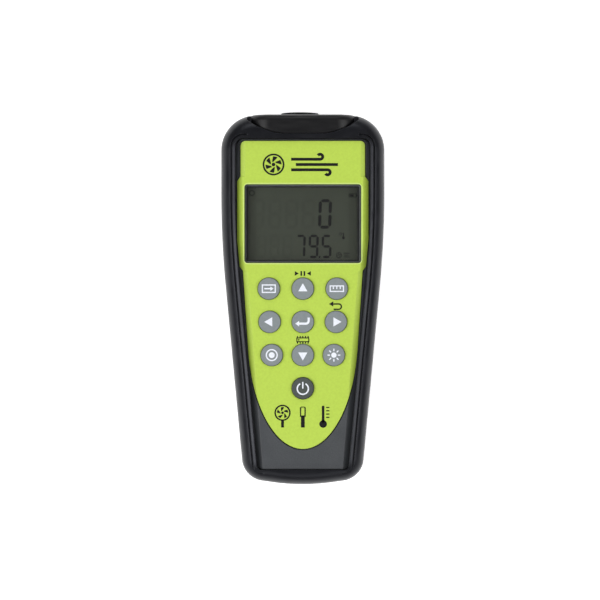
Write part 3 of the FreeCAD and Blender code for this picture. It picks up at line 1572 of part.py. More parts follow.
finished = {}
for node in NODES:
    piece = doc.getObjectsByLabel(node)[0]
    if piece.Shape.isNull() or not piece.Shape.isValid() or not piece.Shape.Solids:
        raise RuntimeError(f"{node} has no valid solid")
    finished[node] = piece

os.makedirs("parts", exist_ok=True)
for node, piece in finished.items():
    piece.Shape.exportStep(f"parts/{node}.step")
    print(f"{node}: {len(piece.Shape.Solids)} solid(s), {piece.Shape.Volume:.1f} mm3")
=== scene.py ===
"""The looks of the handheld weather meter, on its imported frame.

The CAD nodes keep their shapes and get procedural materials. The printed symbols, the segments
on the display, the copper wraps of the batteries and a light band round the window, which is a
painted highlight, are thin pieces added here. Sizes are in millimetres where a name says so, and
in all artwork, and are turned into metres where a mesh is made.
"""

import json
import math

import bmesh
import bpy
from mathutils import Matrix, Vector


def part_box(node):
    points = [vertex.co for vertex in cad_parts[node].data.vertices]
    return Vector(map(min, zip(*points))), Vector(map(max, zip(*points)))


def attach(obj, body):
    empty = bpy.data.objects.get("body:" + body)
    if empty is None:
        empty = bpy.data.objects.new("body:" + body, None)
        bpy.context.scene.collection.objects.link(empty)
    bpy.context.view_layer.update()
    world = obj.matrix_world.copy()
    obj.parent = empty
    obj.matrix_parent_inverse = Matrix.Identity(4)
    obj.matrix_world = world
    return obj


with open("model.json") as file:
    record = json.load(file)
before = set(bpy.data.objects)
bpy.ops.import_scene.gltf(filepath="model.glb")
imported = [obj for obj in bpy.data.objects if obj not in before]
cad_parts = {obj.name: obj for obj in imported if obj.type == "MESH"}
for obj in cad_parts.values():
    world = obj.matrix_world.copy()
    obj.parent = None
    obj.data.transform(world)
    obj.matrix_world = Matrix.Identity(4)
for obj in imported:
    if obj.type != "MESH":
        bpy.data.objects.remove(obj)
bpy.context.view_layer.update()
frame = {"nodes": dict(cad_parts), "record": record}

MM = 0.001
PRINT_MM = 0.03  # thickness of a printed symbol
PRINT_GAP_MM = 0.01  # between a printed symbol and the surface under it

NODES = frame["nodes"]
SLOT_OF = {part["node"]: part["material_slot"] for part in frame["record"]["subparts"]}


# ---------------------------------------------------------------- materials


class Recipe:
    """A Principled material, with calls that add one detail each.

    Sizes of noise are given in millimetres. Every node sits at the origin, so object
    coordinates are the frame's own metres.
    """

    def __init__(self, name, color, roughness, **sockets):
        self.material = bpy.data.materials.new(name)
        self.material.use_nodes = True
        self.nodes = self.material.node_tree.nodes
        self.links = self.material.node_tree.links
        self.shader = self.nodes["Principled BSDF"]
        self.color = (*color, 1.0)
        self.shader.inputs["Base Color"].default_value = self.color
        self.shader.inputs["Roughness"].default_value = roughness
        for socket, value in sockets.items():
            self.shader.inputs[socket.replace("_", " ")].default_value = value
        self.place = self.nodes.new("ShaderNodeTexCoord").outputs["Object"]
        self.last_bump = None

    def stretched(self, x, y, z):
        """The object coordinates with each axis scaled."""
        mapping = self.nodes.new("ShaderNodeMapping")
        mapping.inputs["Scale"].default_value = (x, y, z)
        self.links.new(self.place, mapping.inputs["Vector"])
        return mapping.outputs["Vector"]

    def noise(self, size_mm, detail=3.0, place=None, distortion=0.0):
        """Cloudy noise from 0 to 1, with features of about size_mm."""
        texture = self.nodes.new("ShaderNodeTexNoise")
        texture.inputs["Scale"].default_value = 1.0 / (size_mm * MM)
        texture.inputs["Detail"].default_value = detail
        texture.inputs["Distortion"].default_value = distortion
        self.links.new(place or self.place, texture.inputs["Vector"])
        return texture.outputs[0]

    def grains(self, size_mm):
        """Small rounded cells, as in a spark-eroded or grained mould."""
        texture = self.nodes.new("ShaderNodeTexVoronoi")
        texture.feature = "SMOOTH_F1"
        texture.inputs["Scale"].default_value = 1.0 / (size_mm * MM)
        self.links.new(self.place, texture.inputs["Vector"])
        return texture.outputs["Distance"]

    def axis(self, index):
        """One coordinate of the place, in metres."""
        split = self.nodes.new("ShaderNodeSeparateXYZ")
        self.links.new(self.place, split.inputs[0])
        return split.outputs[index]

    def ranged(self, value, low, high, start, end):
        """value's run from low to high, turned into one from start to end."""
        node = self.nodes.new("ShaderNodeMapRange")
        node.interpolation_type = "SMOOTHSTEP"
        for socket, number in zip(("From Min", "From Max", "To Min", "To Max"), (low, high, start, end)):
            node.inputs[socket].default_value = number
        self.links.new(value, node.inputs["Value"])
        return node.outputs["Result"]

    def tinted(self, value, dark, light, low=0.3, high=0.7):
        """Colours the base by value, from the base times dark to the base times light."""
        ramp = self.nodes.new("ShaderNodeValToRGB")
        for element, share, place in zip(ramp.color_ramp.elements, (dark, light), (low, high)):
            element.position = place
            element.color = (*[c * share for c in self.color[:3]], 1.0)
        self.links.new(value, ramp.inputs["Fac"])
        self.links.new(ramp.outputs["Color"], self.shader.inputs["Base Color"])
        return ramp.outputs["Color"]

    def overlaid(self, under, over, mask):
        """The colour under, with the colour over wherever the mask is 1."""
        mix = self.nodes.new("ShaderNodeMix")
        mix.data_type = "RGBA"
        mix.inputs[7].default_value = (*over, 1.0)
        self.links.new(mask, mix.inputs[0])
        self.links.new(under, mix.inputs[6])
        self.links.new(mix.outputs[2], self.shader.inputs["Base Color"])
        return mix.outputs[2]

    def worn(self, value, smooth, rough, low=0.3, high=0.7):
        """Roughness by value, from smooth to rough."""
        self.links.new(self.ranged(value, low, high, smooth, rough), self.shader.inputs["Roughness"])

    def raised(self, height, depth_mm, strength=1.0):
        """A bump of depth_mm by height. A later call adds to the earlier ones."""
        bump = self.nodes.new("ShaderNodeBump")
        bump.inputs["Distance"].default_value = depth_mm * MM
        bump.inputs["Strength"].default_value = strength
        self.links.new(height, bump.inputs["Height"])
        if self.last_bump:
            self.links.new(self.last_bump, bump.inputs["Normal"])
        self.last_bump = bump.outputs["Normal"]
        self.links.new(self.last_bump, self.shader.inputs["Normal"])

    def edged(self, radius_mm):
        """Edges that catch the light as if slightly rounded. It comes before any raised call."""
        bevel = self.nodes.new("ShaderNodeBevel")
        bevel.samples = 6
        bevel.inputs["Radius"].default_value = radius_mm * MM
        self.last_bump = bevel.outputs["Normal"]

    def lets_light_through(self, share):
        """Clear material: a share of all rays, and every ray from a lamp, passes it unbent."""
        path = self.nodes.new("ShaderNodeLightPath")
        clear = self.nodes.new("ShaderNodeBsdfTransparent")
        mix = self.nodes.new("ShaderNodeMixShader")
        output = self.nodes["Material Output"]
        passed = self.ranged(path.outputs["Is Shadow Ray"], 0.0, 1.0, share, 1.0)
        self.links.new(passed, mix.inputs["Fac"])
        self.links.new(self.shader.outputs["BSDF"], mix.inputs[1])
        self.links.new(clear.outputs["BSDF"], mix.inputs[2])
        self.links.new(mix.outputs["Shader"], output.inputs["Surface"])


def moulded(name, color, roughness, grain_mm, grain_depth_mm, **sockets):
    """Moulded plastic or rubber: a fine mould grain, uneven gloss and a faint cloudiness."""
    recipe = Recipe(name, color, roughness, **sockets)
    recipe.tinted(recipe.noise(14.0), 0.93, 1.07)
    recipe.worn(recipe.noise(6.0), roughness - 0.04, roughness + 0.05)
    recipe.raised(recipe.grains(grain_mm), grain_depth_mm)
    return recipe


def boot_rubber():
    """Satin black rubber, with handling marks and a little dust."""
    recipe = Recipe("boot_rubber", (0.0056, 0.0058, 0.0074), 0.33, Specular_IOR_Level=0.27)
    base = recipe.tinted(recipe.noise(18.0), 0.85, 1.2)
    dust = recipe.ranged(recipe.noise(0.5, detail=1.0), 0.72, 0.8, 0.0, 0.35)
    recipe.overlaid(base, (0.028, 0.028, 0.030), dust)
    recipe.worn(recipe.noise(9.0, detail=5.0), 0.28, 0.38)
    recipe.edged(0.55)
    recipe.raised(recipe.noise(0.35, detail=2.0), 0.012)
    recipe.raised(recipe.noise(4.0), 0.014)
    recipe.shader.inputs["Specular Tint"].default_value = (0.88, 0.91, 1.0, 1.0)
    return recipe


def lime_plastic():
    """Bright satin plastic with a very fine texture."""
    recipe = Recipe("lime_plastic", (0.42, 0.575, 0.066), 0.5, Specular_IOR_Level=0.35)
    recipe.tinted(recipe.noise(1.1, detail=4.0), 0.955, 1.045)
    recipe.worn(recipe.noise(5.0), 0.46, 0.56)
    recipe.edged(0.35)
    recipe.raised(recipe.grains(0.32), 0.01)
    return recipe


def charcoal_plastic():
    """Dark grey case plastic with a spark-eroded texture."""
    recipe = Recipe("charcoal_plastic", (0.048, 0.052, 0.057), 0.42, Specular_IOR_Level=0.4)
    recipe.tinted(recipe.noise(0.6, detail=2.0), 0.9, 1.12)
    recipe.worn(recipe.noise(7.0), 0.38, 0.48)
    recipe.edged(0.35)
    recipe.raised(recipe.grains(0.3), 0.014)
    return recipe


def gloss_plastic():
    """Polished black plastic, with faint rub marks along the cap."""
    recipe = Recipe("black_gloss_plastic", (0.004, 0.004, 0.0048), 0.38, IOR=1.35)
    recipe.tinted(recipe.noise(10.0), 0.85, 1.15)
    marks = recipe.noise(2.0, detail=4.0, place=recipe.stretched(0.25, 1.0, 1.0))
    recipe.worn(marks, 0.34, 0.46)
    recipe.edged(0.3)
    recipe.raised(recipe.noise(8.0, detail=1.0), 0.04)
    recipe.raised(recipe.noise(0.4, detail=2.0), 0.012)
    return recipe


def brushed(name, color, roughness, stretch):
    """Metal with fine lines along one axis."""
    recipe = Recipe(name, color, roughness, Metallic=1.0)
    lines = recipe.noise(0.16, detail=3.0, place=recipe.stretched(*stretch))
    recipe.tinted(lines, 0.95, 1.03)
    recipe.worn(lines, roughness - 0.03, roughness + 0.04)
    recipe.raised(lines, 0.001)
    return recipe


def circuit_board():
    """Green solder mask over copper, which shows as faint lighter tracks."""
    recipe = Recipe("circuit_board", (0.012, 0.10, 0.035), 0.3)
    tracks = recipe.ranged(recipe.grains(2.2), 0.3, 0.36, 0.0, 0.6)
    recipe.overlaid(recipe.tinted(recipe.noise(8.0), 0.9, 1.1), (0.03, 0.2, 0.07), tracks)
    recipe.worn(recipe.noise(3.0), 0.25, 0.35)
    recipe.raised(tracks, 0.03)
    return recipe


def window_clear():
    """A clear moulded window. Its faces are polished, with a roughness that varies a little."""
    recipe = Recipe(
        "window_clear",
        (0.94, 0.95, 0.94),
        0.03,
        Transmission_Weight=1.0,
        IOR=1.49,
        Specular_IOR_Level=0.3,
    )
    recipe.worn(recipe.noise(15.0), 0.02, 0.05)
    recipe.lets_light_through(0.8)
    return recipe


def lcd_glass():
    """A reflective display: grey-green, with painted shade as darker bands along its left and right sides.
    """
    recipe = Recipe("lcd_glass", (0.034, 0.0385, 0.0295), 0.4, Specular_IOR_Level=0.15)
    x = recipe.axis(0)
    base = recipe.tinted(recipe.noise(9.0), 0.96, 1.05)
    # Painted shade: darker bands along the left and right sides of the display.
    left = recipe.ranged(x, -0.0245, -0.0235, 0.45, 0.0)
    with_left_shade = recipe.overlaid(base, (0.021, 0.0235, 0.0185), left)
    right = recipe.ranged(x, 0.0232, 0.0242, 0.0, 0.3)
    recipe.overlaid(with_left_shade, (0.021, 0.0235, 0.0185), right)
    recipe.raised(recipe.noise(0.25, detail=1.0), 0.002)
    return recipe


def key_rubber(name, color):
    """Smooth silicone with a soft, slightly mottled face."""
    recipe = Recipe(name, color, 0.5)
    recipe.tinted(recipe.noise(1.6), 0.96, 1.05)
    recipe.worn(recipe.noise(2.5), 0.45, 0.58)
    recipe.raised(recipe.noise(0.3, detail=2.0), 0.006)
    return recipe


def battery_wrap():
    """A printed can: a dark sleeve. The copper-coloured band at its positive end is the copper wraps, made
    below.
    """
    recipe = Recipe("battery_can", (0.02, 0.02, 0.022), 0.26, Metallic=0.6)
    recipe.tinted(recipe.noise(5.0), 0.8, 1.2)
    recipe.worn(recipe.noise(3.0), 0.2, 0.34)
    recipe.raised(recipe.noise(1.0), 0.004)
    return recipe


def print_ink(name, color, roughness=0.55, **sockets):
    """Screen-print ink: slightly uneven, with a dry surface."""
    recipe = Recipe(name, color, roughness, **sockets)
    recipe.tinted(recipe.noise(0.8), 0.92, 1.06)
    recipe.worn(recipe.noise(0.6), roughness - 0.06, roughness + 0.08)
    recipe.raised(recipe.noise(0.2), 0.004)
    return recipe


ALONG_X = (0.05, 1.0, 1.0)
ALONG_Y = (1.0, 0.05, 1.0)

RECIPES = {
    "boot_rubber": boot_rubber(),
    "magnet_nickel": brushed("magnet_nickel", (0.55, 0.54, 0.52), 0.28, ALONG_X),
    "charcoal_plastic": charcoal_plastic(),
    "seal_rubber": moulded("seal_rubber", (0.012, 0.012, 0.012), 0.6, 0.4, 0.01),
    "screw_steel": brushed("screw_steel", (0.5, 0.5, 0.52), 0.3, ALONG_X),
    "black_gloss_plastic": gloss_plastic(),
    "socket_insert_plastic": moulded("socket_insert_plastic", (0.02, 0.02, 0.022), 0.45, 0.3, 0.008),
    "contact_brass": brushed("contact_brass", (0.75, 0.52, 0.22), 0.22, ALONG_Y),
    "circuit_board": circuit_board(),
    "black_plastic": moulded(
        "black_plastic", (0.006, 0.006, 0.007), 0.42, 0.35, 0.01, Specular_IOR_Level=0.3
    ),
    "lime_plastic": lime_plastic(),
    "window_clear": window_clear(),
    "lcd_glass": lcd_glass(),
    "light_guide": moulded("light_guide", (0.7, 0.72, 0.68), 0.2, 0.8, 0.006),
    "mat_rubber": moulded("mat_rubber", (0.2, 0.2, 0.21), 0.6, 0.5, 0.01),
    "component_ceramic": moulded("component_ceramic", (0.36, 0.31, 0.26), 0.5, 0.3, 0.01),
    "battery_can": battery_wrap(),
    "spring_steel": brushed("spring_steel", (0.62, 0.62, 0.6), 0.25, ALONG_Y),
    "key_rubber": key_rubber("key_rubber", (0.192, 0.218, 0.226)),
    "power_key_rubber": key_rubber("power_key_rubber", (0.046, 0.056, 0.050)),
}

for node, piece in NODES.items():
    piece.data.materials.clear()
    piece.data.materials.append(RECIPES[SLOT_OF[node]].material)

WHITE_INK = print_ink("white_ink", (0.74, 0.77, 0.84))
BLACK_INK = print_ink("black_ink", (0.004, 0.004, 0.004), Specular_IOR_Level=0.2)
# A light lime: painted highlight for the edge of the window's opening catching the light.
RIM_PAINTED_HIGHLIGHT = print_ink("painted_rim_highlight", (0.60, 0.74, 0.22), 0.4)
SEGMENT_INK = print_ink("segment_dark", (0.0045, 0.0045, 0.005), 0.45, Specular_IOR_Level=0.15)
GHOST_INK = print_ink("segment_ghost", (0.0305, 0.0347, 0.0266), 0.4, Specular_IOR_Level=0.15)


# ---------------------------------------------------------------- flat artwork


class Artwork:
    """Flat shapes in one plane, drawn in millimetres about a centre."""

    def __init__(self):
        self.mesh = bmesh.new()

    def shape(self, points):
        """A filled outline, given counter-clockwise."""
        corners = [self.mesh.verts.new((x * MM, y * MM, 0.0)) for x, y in points]
        self.mesh.faces.new(corners)

    def band(self, outer, inner, closed=True):
        """The area between two lines with as many points each."""
        rows = [[self.mesh.verts.new((x * MM, y * MM, 0.0)) for x, y in line] for line in (outer, inner)]
        count = len(outer)
        for i in range(count if closed else count - 1):
            j = (i + 1) % count
            self.mesh.faces.new((rows[0][i], rows[0][j], rows[1][j], rows[1][i]))

    def ring(self, x, y, radius, width, start=0.0, sweep=360.0, steps=48):
        """A ring, or a part of one, with its outer radius and its width."""
        closed = sweep >= 360.0
        count = steps if closed else steps + 1
        turns = [math.radians(start + sweep * i / steps) for i in range(count)]
        outer = [(x + radius * math.cos(t), y + radius * math.sin(t)) for t in turns]
        inside = radius - width
        inner = [(x + inside * math.cos(t), y + inside * math.sin(t)) for t in turns]
        self.band(outer, inner, closed)

    def disc(self, x, y, radius, steps=40):
        """A filled circle."""
        turns = [math.tau * i / steps for i in range(steps)]
        self.shape([(x + radius * math.cos(t), y + radius * math.sin(t)) for t in turns])

    def bar(self, x0, y0, x1, y1, width):
        """A straight stroke with square ends."""
        run = Vector((x1 - x0, y1 - y0))
        side = Vector((-run.y, run.x)).normalized() * (width / 2)
        self.shape(
            [
                (x0 - side.x, y0 - side.y),
                (x1 - side.x, y1 - side.y),
                (x1 + side.x, y1 + side.y),
                (x0 + side.x, y0 + side.y),
            ]
        )

    def frame(self, x, y, width, height, line):
        """A rectangular outline about a centre."""
        outer = corners_of(x, y, width, height)
        inner = corners_of(x, y, width - 2 * line, height - 2 * line)
        self.band(outer, inner)

    def block(self, x, y, width, height):
        """A filled rectangle about a centre."""
        self.shape(corners_of(x, y, width, height))

    def stroke(self, points, width):
        """A stroke of even width along a line of points, with square ends."""
        line = [Vector(p) for p in points]
        left, right = [], []
        for i, point in enumerate(line):
            run = (line[min(i + 1, len(line) - 1)] - line[max(i - 1, 0)]).normalized()
            side = Vector((-run.y, run.x)) * (width / 2)
            left.append(tuple(point + side))
            right.append(tuple(point - side))
        self.band(right, left, closed=False)

    def piece(self, name, body, slot, ink, x, y, z, scale=1.0):
        """The finished artwork as one piece, lying face up at a place in millimetres."""
        bmesh.ops.recalc_face_normals(self.mesh, faces=self.mesh.faces)
        for face in self.mesh.faces:
            if face.normal.z < 0:
                face.normal_flip()
        move = Matrix.Translation((x * MM, y * MM, z * MM))
        self.mesh.transform(move @ Matrix.Diagonal((scale, scale, 1.0, 1.0)))
        data = bpy.data.meshes.new(name)
        self.mesh.to_mesh(data)
        self.mesh.free()
        data.materials.append(ink.material)
        made = bpy.data.objects.new(name, data)
        bpy.context.scene.collection.objects.link(made)
        solid = made.modifiers.new("thickness", "SOLIDIFY")
        solid.thickness = PRINT_MM * MM
        solid.offset = 1.0
        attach(made, body)
        return made


def corners_of(x, y, width, height):
    """The corners of a rectangle about a centre, counter-clockwise."""
    w, h = width / 2, height / 2
    return [(x - w, y - h), (x + w, y - h), (x + w, y + h), (x - w, y + h)]


def rounded(x, y, width, height, radius):
    """A rectangle about a centre with round corners, counter-clockwise."""
    w, h = width / 2 - radius, height / 2 - radius
    line = []
    for i, (px, py) in enumerate(((w, h), (-w, h), (-w, -h), (w, -h))):
        line += arc(x + px, y + py, radius, 90 * i, 90 * (i + 1), 8)
    return line


def arc(x, y, radius, start, end, steps=16):
    """Points along an arc, from one angle in degrees to another."""
    turns = [math.radians(start + (end - start) * i / steps) for i in range(steps + 1)]
    return [(x + radius * math.cos(t), y + radius * math.sin(t)) for t in turns]


def turned(points, degrees):
    """The points turned about the origin."""
    c, s = math.cos(math.radians(degrees)), math.sin(math.radians(degrees))
    return [(x * c - y * s, x * s + y * c) for x, y in points]


def middle(node):
    """A node's centre in X and Y and its top, in millimetres."""
    low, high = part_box(node)
    return (low.x + high.x) / 2 / MM, (low.y + high.y) / 2 / MM, high.z / MM


# ---------------------------------------------------------------- symbols on the keys


def triangle(degrees):
    """A triangle that points up, turned by some degrees."""
    art = Artwork()
    art.shape(turned([(-2.35, -1.35), (2.35, -1.35), (0.0, 2.8)], degrees))
    return art


def return_arrow():
    """An arrow that comes down and turns to the left."""
    art = Artwork()
    art.stroke([(3.0, 2.2), (3.0, 0.6), *arc(1.5, 0.6, 1.5, 0, -90), (-1.9, -0.9)], 1.15)
    art.shape([(-3.9, -0.9), (-1.9, -2.35), (-1.9, 0.55)])
    return art


def power_sign():
    """An open ring with a line through its gap."""
    art = Artwork()
    art.ring(0.0, -0.2, 3.2, 0.7, start=118, sweep=304)
    art.bar(0.0, -0.1, 0.0, 3.3, 0.68)
    return art


def duct_sign():
    """A length of duct with air through it."""
    art = Artwork()
    art.frame(0.0, 0.0, 7.2, 4.4, 0.6)
    art.bar(-2.3, 0.0, 0.8, 0.0, 0.7)
    art.shape([(2.4, 0.0), (0.8, 1.15), (0.8, -1.15)])
    return art


def ruler_sign():
    """A ruler, for the units."""
    art = Artwork()
    art.frame(0.0, 0.0, 7.4, 3.4, 0.6)
    for i in range(3):
        x = (i - 1) * 1.75
        art.bar(x, 1.15, x, -0.2, 0.6)
    return art


def record_sign():
    """A dot in a ring."""
    art = Artwork()
    art.ring(0.0, 0.0, 3.1, 0.65)
    art.disc(0.0, 0.0, 1.5)
    return art


def light_sign():
    """A lamp with rays."""
    art = Artwork()
    art.disc(0.0, 0.0, 1.35)
    for i in range(8):
        art.shape(turned(corners_of(2.65, 0.0, 1.3, 0.6), 45 * i))
    return art


KEY_SIGNS = {
    "key_duct": duct_sign(),
    "key_up": triangle(0),
    "key_unit": ruler_sign(),
    "key_left": triangle(90),
    "key_enter": return_arrow(),
    "key_right": triangle(-90),
    "key_record": record_sign(),
    "key_down": triangle(180),
    "key_light": light_sign(),
    "key_power": power_sign(),
}

for key, sign in KEY_SIGNS.items():
    x, y, top = middle(key)
    sign.piece(key + "_sign", key, SLOT_OF[key], WHITE_INK, x, y, top + PRINT_GAP_MM)


# ---------------------------------------------------------------- symbols on the plate, and the painted highlight round the window


def hold_sign():
    """Two bars between two pointers."""
    art = Artwork()
    art.block(-0.8, 0.0, 0.8, 2.4)
    art.block(0.8, 0.0, 0.8, 2.4)
    art.shape([(-4.1, -1.2), (-2.1, 0.0), (-4.1, 1.2)])
    art.shape([(4.1, 1.2), (2.1, 0.0), (4.1, -1.2)])
    return art


def recall_sign():
    """An arrow that goes back round."""
    art = Artwork()
    art.stroke([(-1.2, -1.35), (1.4, -1.35), *arc(1.4, 0.0, 1.35, -90, 90), (-1.4, 1.35)], 0.72)
    art.shape([(-3.6, 1.35), (-1.4, 0.05), (-1.4, 2.65)])
    return art


def memory_sign():
    """A memory chip from above."""
    art = Artwork()
    art.frame(0.0, 0.0, 6.6, 2.4, 0.5)
    art.disc(-2.1, 0.0, 0.42)
    for i in range(5):
        x = (i - 2) * 1.35
        art.bar(x, 1.2, x, 1.95, 0.6)
        art.bar(x, -1.95, x, -1.2, 0.6)
    return art


def vane_wheel(art, x, y, radius, blades, line):
    """A bladed wheel in its ring."""
    art.ring(x, y, radius, line)
    art.disc(x, y, radius * 0.17)
    reach = radius - line * 1.6
    for i in range(blades):
        blade = [*arc(0.0, 0.0, reach, 0, 34, 6), *arc(0.0, 0.0, radius * 0.26, 62, 30, 3)]
        art.shape([(px + x, py + y) for px, py in turned(blade, 360 / blades * i)])


def wind_lines(art, x, y, length, spacing, width):
    """Three lines of air, two of them with a curl at the end."""
    curl = spacing * 0.48
    bend = x + length * 0.62
    curled = arc(bend, y + spacing + curl, curl, -90, 150)
    art.stroke([(x, y + spacing), (bend, y + spacing), *curled], width)
    art.stroke([(x + length * 0.1, y), (x + length, y)], width)
    bend = x + length * 0.78
    curled = arc(bend, y - spacing - curl, curl, 90, -150)
    art.stroke([(x, y - spacing), (bend, y - spacing), *curled], width)


def air_flow_mark():
    """A vane wheel with air running off it."""
    art = Artwork()
    vane_wheel(art, -15.0, 0.0, 5.6, 6, 0.9)
    wind_lines(art, -6.0, 0.0, 24.0, 2.7, 1.5)
    return art


def vane_mark():
    """A vane probe: a wheel on a handle."""
    art = Artwork()
    vane_wheel(art, 0.0, 1.4, 3.2, 5, 0.6)
    art.bar(0.0, -4.4, 0.0, -1.6, 1.1)
    return art


def hot_wire_mark():
    """A hot-wire probe: a stem with a wire between two prongs."""
    art = Artwork()
    art.bar(0.0, -4.4, 0.0, 0.0, 1.5)
    art.bar(-0.9, 0.2, -0.9, 3.6, 0.5)
    art.bar(0.9, 0.2, 0.9, 3.6, 0.5)
    art.block(0.0, 0.1, 2.3, 0.5)
    wire = [(-0.7 + 0.14 * i, 3.5 + (0.4 if i % 2 else -0.2)) for i in range(11)]
    art.stroke(wire, 0.3)
    return art


def thermometer_mark():
    """A thermometer with a scale."""
    art = Artwork()
    art.disc(0.0, -3.0, 1.5)
    art.bar(0.0, -2.4, 0.0, 4.2, 1.0)
    for i in range(4):
        art.bar(1.2, -0.4 + 1.3 * i, 2.5, -0.4 + 1.3 * i, 0.45)
    return art


CAPTION_RISE_MM = 7.8  # from a key's centre to the symbol over it
TOP_SYMBOL_RISE_MM = 10.2  # from the window's edge to the symbol over it
PROBE_SYMBOL_DROP_MM = 14.4  # from the power key's centre to the three symbols below it
PROBE_SYMBOL_PITCH_MM = 10.4
PROBE_SYMBOL_SCALE = 1.3
RIM_MM = ((61.1, 41.6, 2.6), (60.3, 40.8, 2.2))  # width, height and corner of the two lines of the rim's painted highlight

print_level = middle("face_plate")[2] + PRINT_GAP_MM
window_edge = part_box("display_window")[1].y / MM
window_x, window_y, _ = middle("display_window")
power_x, power_y, _ = middle("key_power")

for key, sign in (("key_up", hold_sign()), ("key_right", recall_sign()), ("key_down", memory_sign())):
    x, y, _ = middle(key)
    sign.piece(key + "_caption", "meter", "lime_plastic", BLACK_INK, x, y + CAPTION_RISE_MM, print_level)

# Painted highlight: a light lime band round the window, for the edge of its opening catching the light.
rim = Artwork()
rim.band(*(rounded(0.0, 0.0, *line) for line in RIM_MM))
rim.piece("window_rim_painted_highlight", "meter", "lime_plastic", RIM_PAINTED_HIGHLIGHT, window_x, window_y, print_level)

top_symbol_y = window_edge + TOP_SYMBOL_RISE_MM
air_flow_mark().piece(
    "plate_top_symbol", "meter", "lime_plastic", BLACK_INK, window_x, top_symbol_y, print_level
)

for name, mark, place in (
    ("plate_vane_symbol", vane_mark(), -1),
    ("plate_wire_symbol", hot_wire_mark(), 0),
    ("plate_heat_symbol", thermometer_mark(), 1),
):
    mark.piece(
        name,
        "meter",
        "lime_plastic",
        BLACK_INK,
        power_x + place * PROBE_SYMBOL_PITCH_MM,
        power_y - PROBE_SYMBOL_DROP_MM,
        print_level,
        PROBE_SYMBOL_SCALE,
    )


# ---------------------------------------------------------------- the display

# The strokes of a digit by name, on a cell one wide and two high.
STROKES = {
    "top": ((0, 2), (1, 2)),
    "upper_left": ((0, 1), (0, 2)),
    "upper_right": ((1, 1), (1, 2)),
    "middle": ((0, 1), (1, 1)),
    "lower_left": ((0, 0), (0, 1)),
    "lower_right": ((1, 0), (1, 1)),
    "bottom": ((0, 0), (1, 0)),
}
DIGITS = {
    "0": ("top", "upper_left", "upper_right", "lower_left", "lower_right", "bottom"),
    "5": ("top", "upper_left", "middle", "lower_right", "bottom"),
    "7": ("top", "upper_right", "lower_right"),
    "8": tuple(STROKES),
    "9": ("top", "upper_left", "upper_right", "middle", "lower_right", "bottom"),
}


def digit(art, figure, x, y, width, height, line, lean=0.0):
    """One figure of seven strokes, with its lower left corner at x, y."""
    gap = line * 0.16
    half = line / 2
    cell_x, cell_y = width - line, (height - line) / 2
    for name in DIGITS[figure]:
        ends = [Vector((x + half + cell_x * px, y + half + cell_y * py)) for px, py in STROKES[name]]
        run = (ends[1] - ends[0]).normalized()
        side = Vector((-run.y, run.x)) * half
        start, end = ends[0] + run * gap, ends[1] - run * gap
        tip = run * half
        near, far = start + tip, end - tip
        corners = [start, near - side, far - side, end, far + side, near + side]
        art.shape([(c.x + lean * (c.y - y), c.y) for c in corners])


def figures(art, text, right, low, width, height, line, pitch):
    """Digits in a row that ends at right."""
    for place, figure in enumerate(reversed(text)):
        digit(art, figure, right - width - place * pitch, low, width, height, line, lean=0.03)


LARGE = {"width": 6.8, "height": 15.2, "line": 1.6, "pitch": 8.6}
SMALL = {"width": 5.1, "height": 12.0, "line": 1.2, "pitch": 6.7}
FIGURES_RIGHT_MM = 14.6
LARGE_LOW_MM, SMALL_LOW_MM = -2.5, -17.6


def lit_segments():
    """What the display shows: a speed of nought, a temperature and small signs."""
    art = Artwork()
    figures(art, "0", FIGURES_RIGHT_MM, LARGE_LOW_MM, **LARGE)
    figures(art, "795", FIGURES_RIGHT_MM, SMALL_LOW_MM, **SMALL)
    art.block(FIGURES_RIGHT_MM - SMALL["width"] - 0.9, SMALL_LOW_MM + 0.55, 0.8, 1.1)
    art.ring(-26.2, 15.85, 1.5, 0.5)
    art.frame(25.6, 14.6, 4.0, 2.0, 0.35)
    art.block(25.1, 14.6, 2.0, 1.0)
    art.block(27.8, 14.6, 0.4, 0.9)
    art.ring(19.4, -5.2, 0.8, 0.3)
    art.bar(20.9, -7.0, 20.9, -4.6, 0.5)
    art.disc(20.9, -7.2, 0.7)
    vane_wheel(art, 18.6, -16.1, 1.5, 4, 0.3)
    for i in range(3):
        art.bar(21.0, -15.1 - i * 0.95, 24.2 - 0.7 * (i % 2), -15.1 - i * 0.95, 0.4)
    return art


def ghost_segments():
    """Unlit strokes, just darker than the display."""
    art = Artwork()
    figures(art, "8888", FIGURES_RIGHT_MM - LARGE["pitch"], LARGE_LOW_MM, **LARGE)
    figures(art, "888", FIGURES_RIGHT_MM - 3 * SMALL["pitch"], SMALL_LOW_MM, **SMALL)
    return art


glass_level = middle("lcd_glass")[2] + PRINT_GAP_MM
lit_segments().piece("display_segments", "meter", "lcd_glass", SEGMENT_INK, window_x, window_y, glass_level)
ghost_segments().piece("display_ghosts", "meter", "lcd_glass", GHOST_INK, window_x, window_y, glass_level)


# ---------------------------------------------------------------- battery wraps

CELL_COUNT = 4
WRAP_MM = 0.04  # thickness of a wrap
WRAP_END_MM = 2.0  # from a button's tip to the wrap's nearer end
WRAP_LENGTH_MM = 13.0
WRAP_STEPS = 48
COPPER_INK = print_ink("copper_wrap", (0.45, 0.17, 0.06), 0.28, Metallic=0.7)


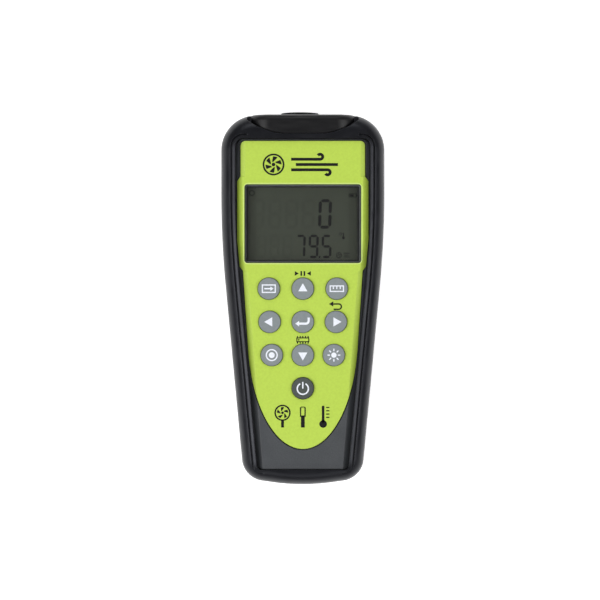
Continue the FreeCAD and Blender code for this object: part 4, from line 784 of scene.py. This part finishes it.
def copper_wraps():
    """A copper sleeve at each cell's positive end. Every second cell is turned end for end."""
    low, high = (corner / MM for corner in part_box("batteries"))
    radius = (high.z - low.z) / 2
    mesh = bmesh.new()
    for number in range(CELL_COUNT):
        share = number / (CELL_COUNT - 1)
        x = low.x + radius + (high.x - low.x - 2 * radius) * share
        y = low.y + WRAP_END_MM if number % 2 else high.y - WRAP_END_MM - WRAP_LENGTH_MM
        ring = arc(x, low.z + radius, radius + PRINT_GAP_MM, 0, 360, WRAP_STEPS)[:-1]
        rows = [
            [mesh.verts.new((px * MM, end * MM, pz * MM)) for px, pz in ring]
            for end in (y, y + WRAP_LENGTH_MM)
        ]
        for i in range(WRAP_STEPS):
            j = (i + 1) % WRAP_STEPS
            mesh.faces.new((rows[0][i], rows[0][j], rows[1][j], rows[1][i]))
    bmesh.ops.recalc_face_normals(mesh, faces=mesh.faces)
    data = bpy.data.meshes.new("battery_wraps")
    mesh.to_mesh(data)
    mesh.free()
    data.materials.append(COPPER_INK.material)
    made = bpy.data.objects.new("battery_wraps", data)
    bpy.context.scene.collection.objects.link(made)
    solid = made.modifiers.new("thickness", "SOLIDIFY")
    solid.thickness = WRAP_MM * MM
    solid.offset = 1.0
    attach(made, "meter")


copper_wraps()


# ---------------------------------------------------------------- stage, lights and camera


def look_at(made, target):
    """Turns a lamp or camera to face a point."""
    made.rotation_euler = (Vector(target) - made.location).to_track_quat("-Z", "Y").to_euler()


def area_light(name, place, target, size, power):
    """A soft box that faces a point."""
    lamp = bpy.data.lights.new(name, "AREA")
    lamp.shape = "RECTANGLE"
    lamp.size, lamp.size_y = size
    lamp.energy = power
    made = bpy.data.objects.new(name, lamp)
    made.location = place
    bpy.context.scene.collection.objects.link(made)
    look_at(made, target)


def pale_floor():
    """A pale sheet that the meter lies on."""
    mesh = bmesh.new()
    bmesh.ops.create_grid(mesh, x_segments=8, y_segments=8, size=3.0)
    data = bpy.data.meshes.new("floor")
    mesh.to_mesh(data)
    mesh.free()
    recipe = Recipe("pale_floor", (0.9, 0.9, 0.9), 0.7, Specular_IOR_Level=0.2)
    recipe.tinted(recipe.noise(40.0), 0.995, 1.005)
    recipe.shader.inputs["Emission Color"].default_value = (1.0, 1.0, 1.0, 1.0)
    recipe.shader.inputs["Emission Strength"].default_value = 0.55
    data.materials.append(recipe.material)
    made = bpy.data.objects.new("floor", data)
    bpy.context.scene.collection.objects.link(made)


def studio():
    """A plain soft room: an even world, white to the camera, and a soft box on all four sides."""
    scene = bpy.context.scene
    world = bpy.data.worlds.new("studio")
    world.use_nodes = True
    background = world.node_tree.nodes["Background"]
    background.inputs["Color"].default_value = (1.0, 1.0, 1.0, 1.0)
    path = world.node_tree.nodes.new("ShaderNodeLightPath")
    strength = world.node_tree.nodes.new("ShaderNodeMapRange")
    strength.inputs["To Min"].default_value = 0.16
    world.node_tree.links.new(path.outputs["Is Camera Ray"], strength.inputs["Value"])
    world.node_tree.links.new(strength.outputs["Result"], background.inputs["Strength"])
    scene.world = world
    centre = (0.0, 0.0, 0.02)
    area_light("left_box", (-0.9, -0.22, 1.1), centre, (0.8, 1.1), 16.5)
    area_light("right_box", (0.95, -0.1, 1.1), centre, (0.7, 1.0), 10.5)
    area_light("head_box", (-0.1, 1.25, 0.9), centre, (1.1, 0.5), 4.5)
    area_light("foot_box", (0.1, -1.3, 0.8), centre, (1.0, 0.4), 2.5)
    scene.view_settings.view_transform = "Standard"


def camera():
    """A long lens straight over the meter, with the meter's head at the top."""
    lens = bpy.data.cameras.new("camera")
    lens.lens = 150.0
    lens.sensor_width = 36.0
    made = bpy.data.objects.new("camera", lens)
    made.location = (-0.00144, -0.0001, 1.3195)
    bpy.context.scene.collection.objects.link(made)
    bpy.context.scene.camera = made


pale_floor()
studio()
camera()
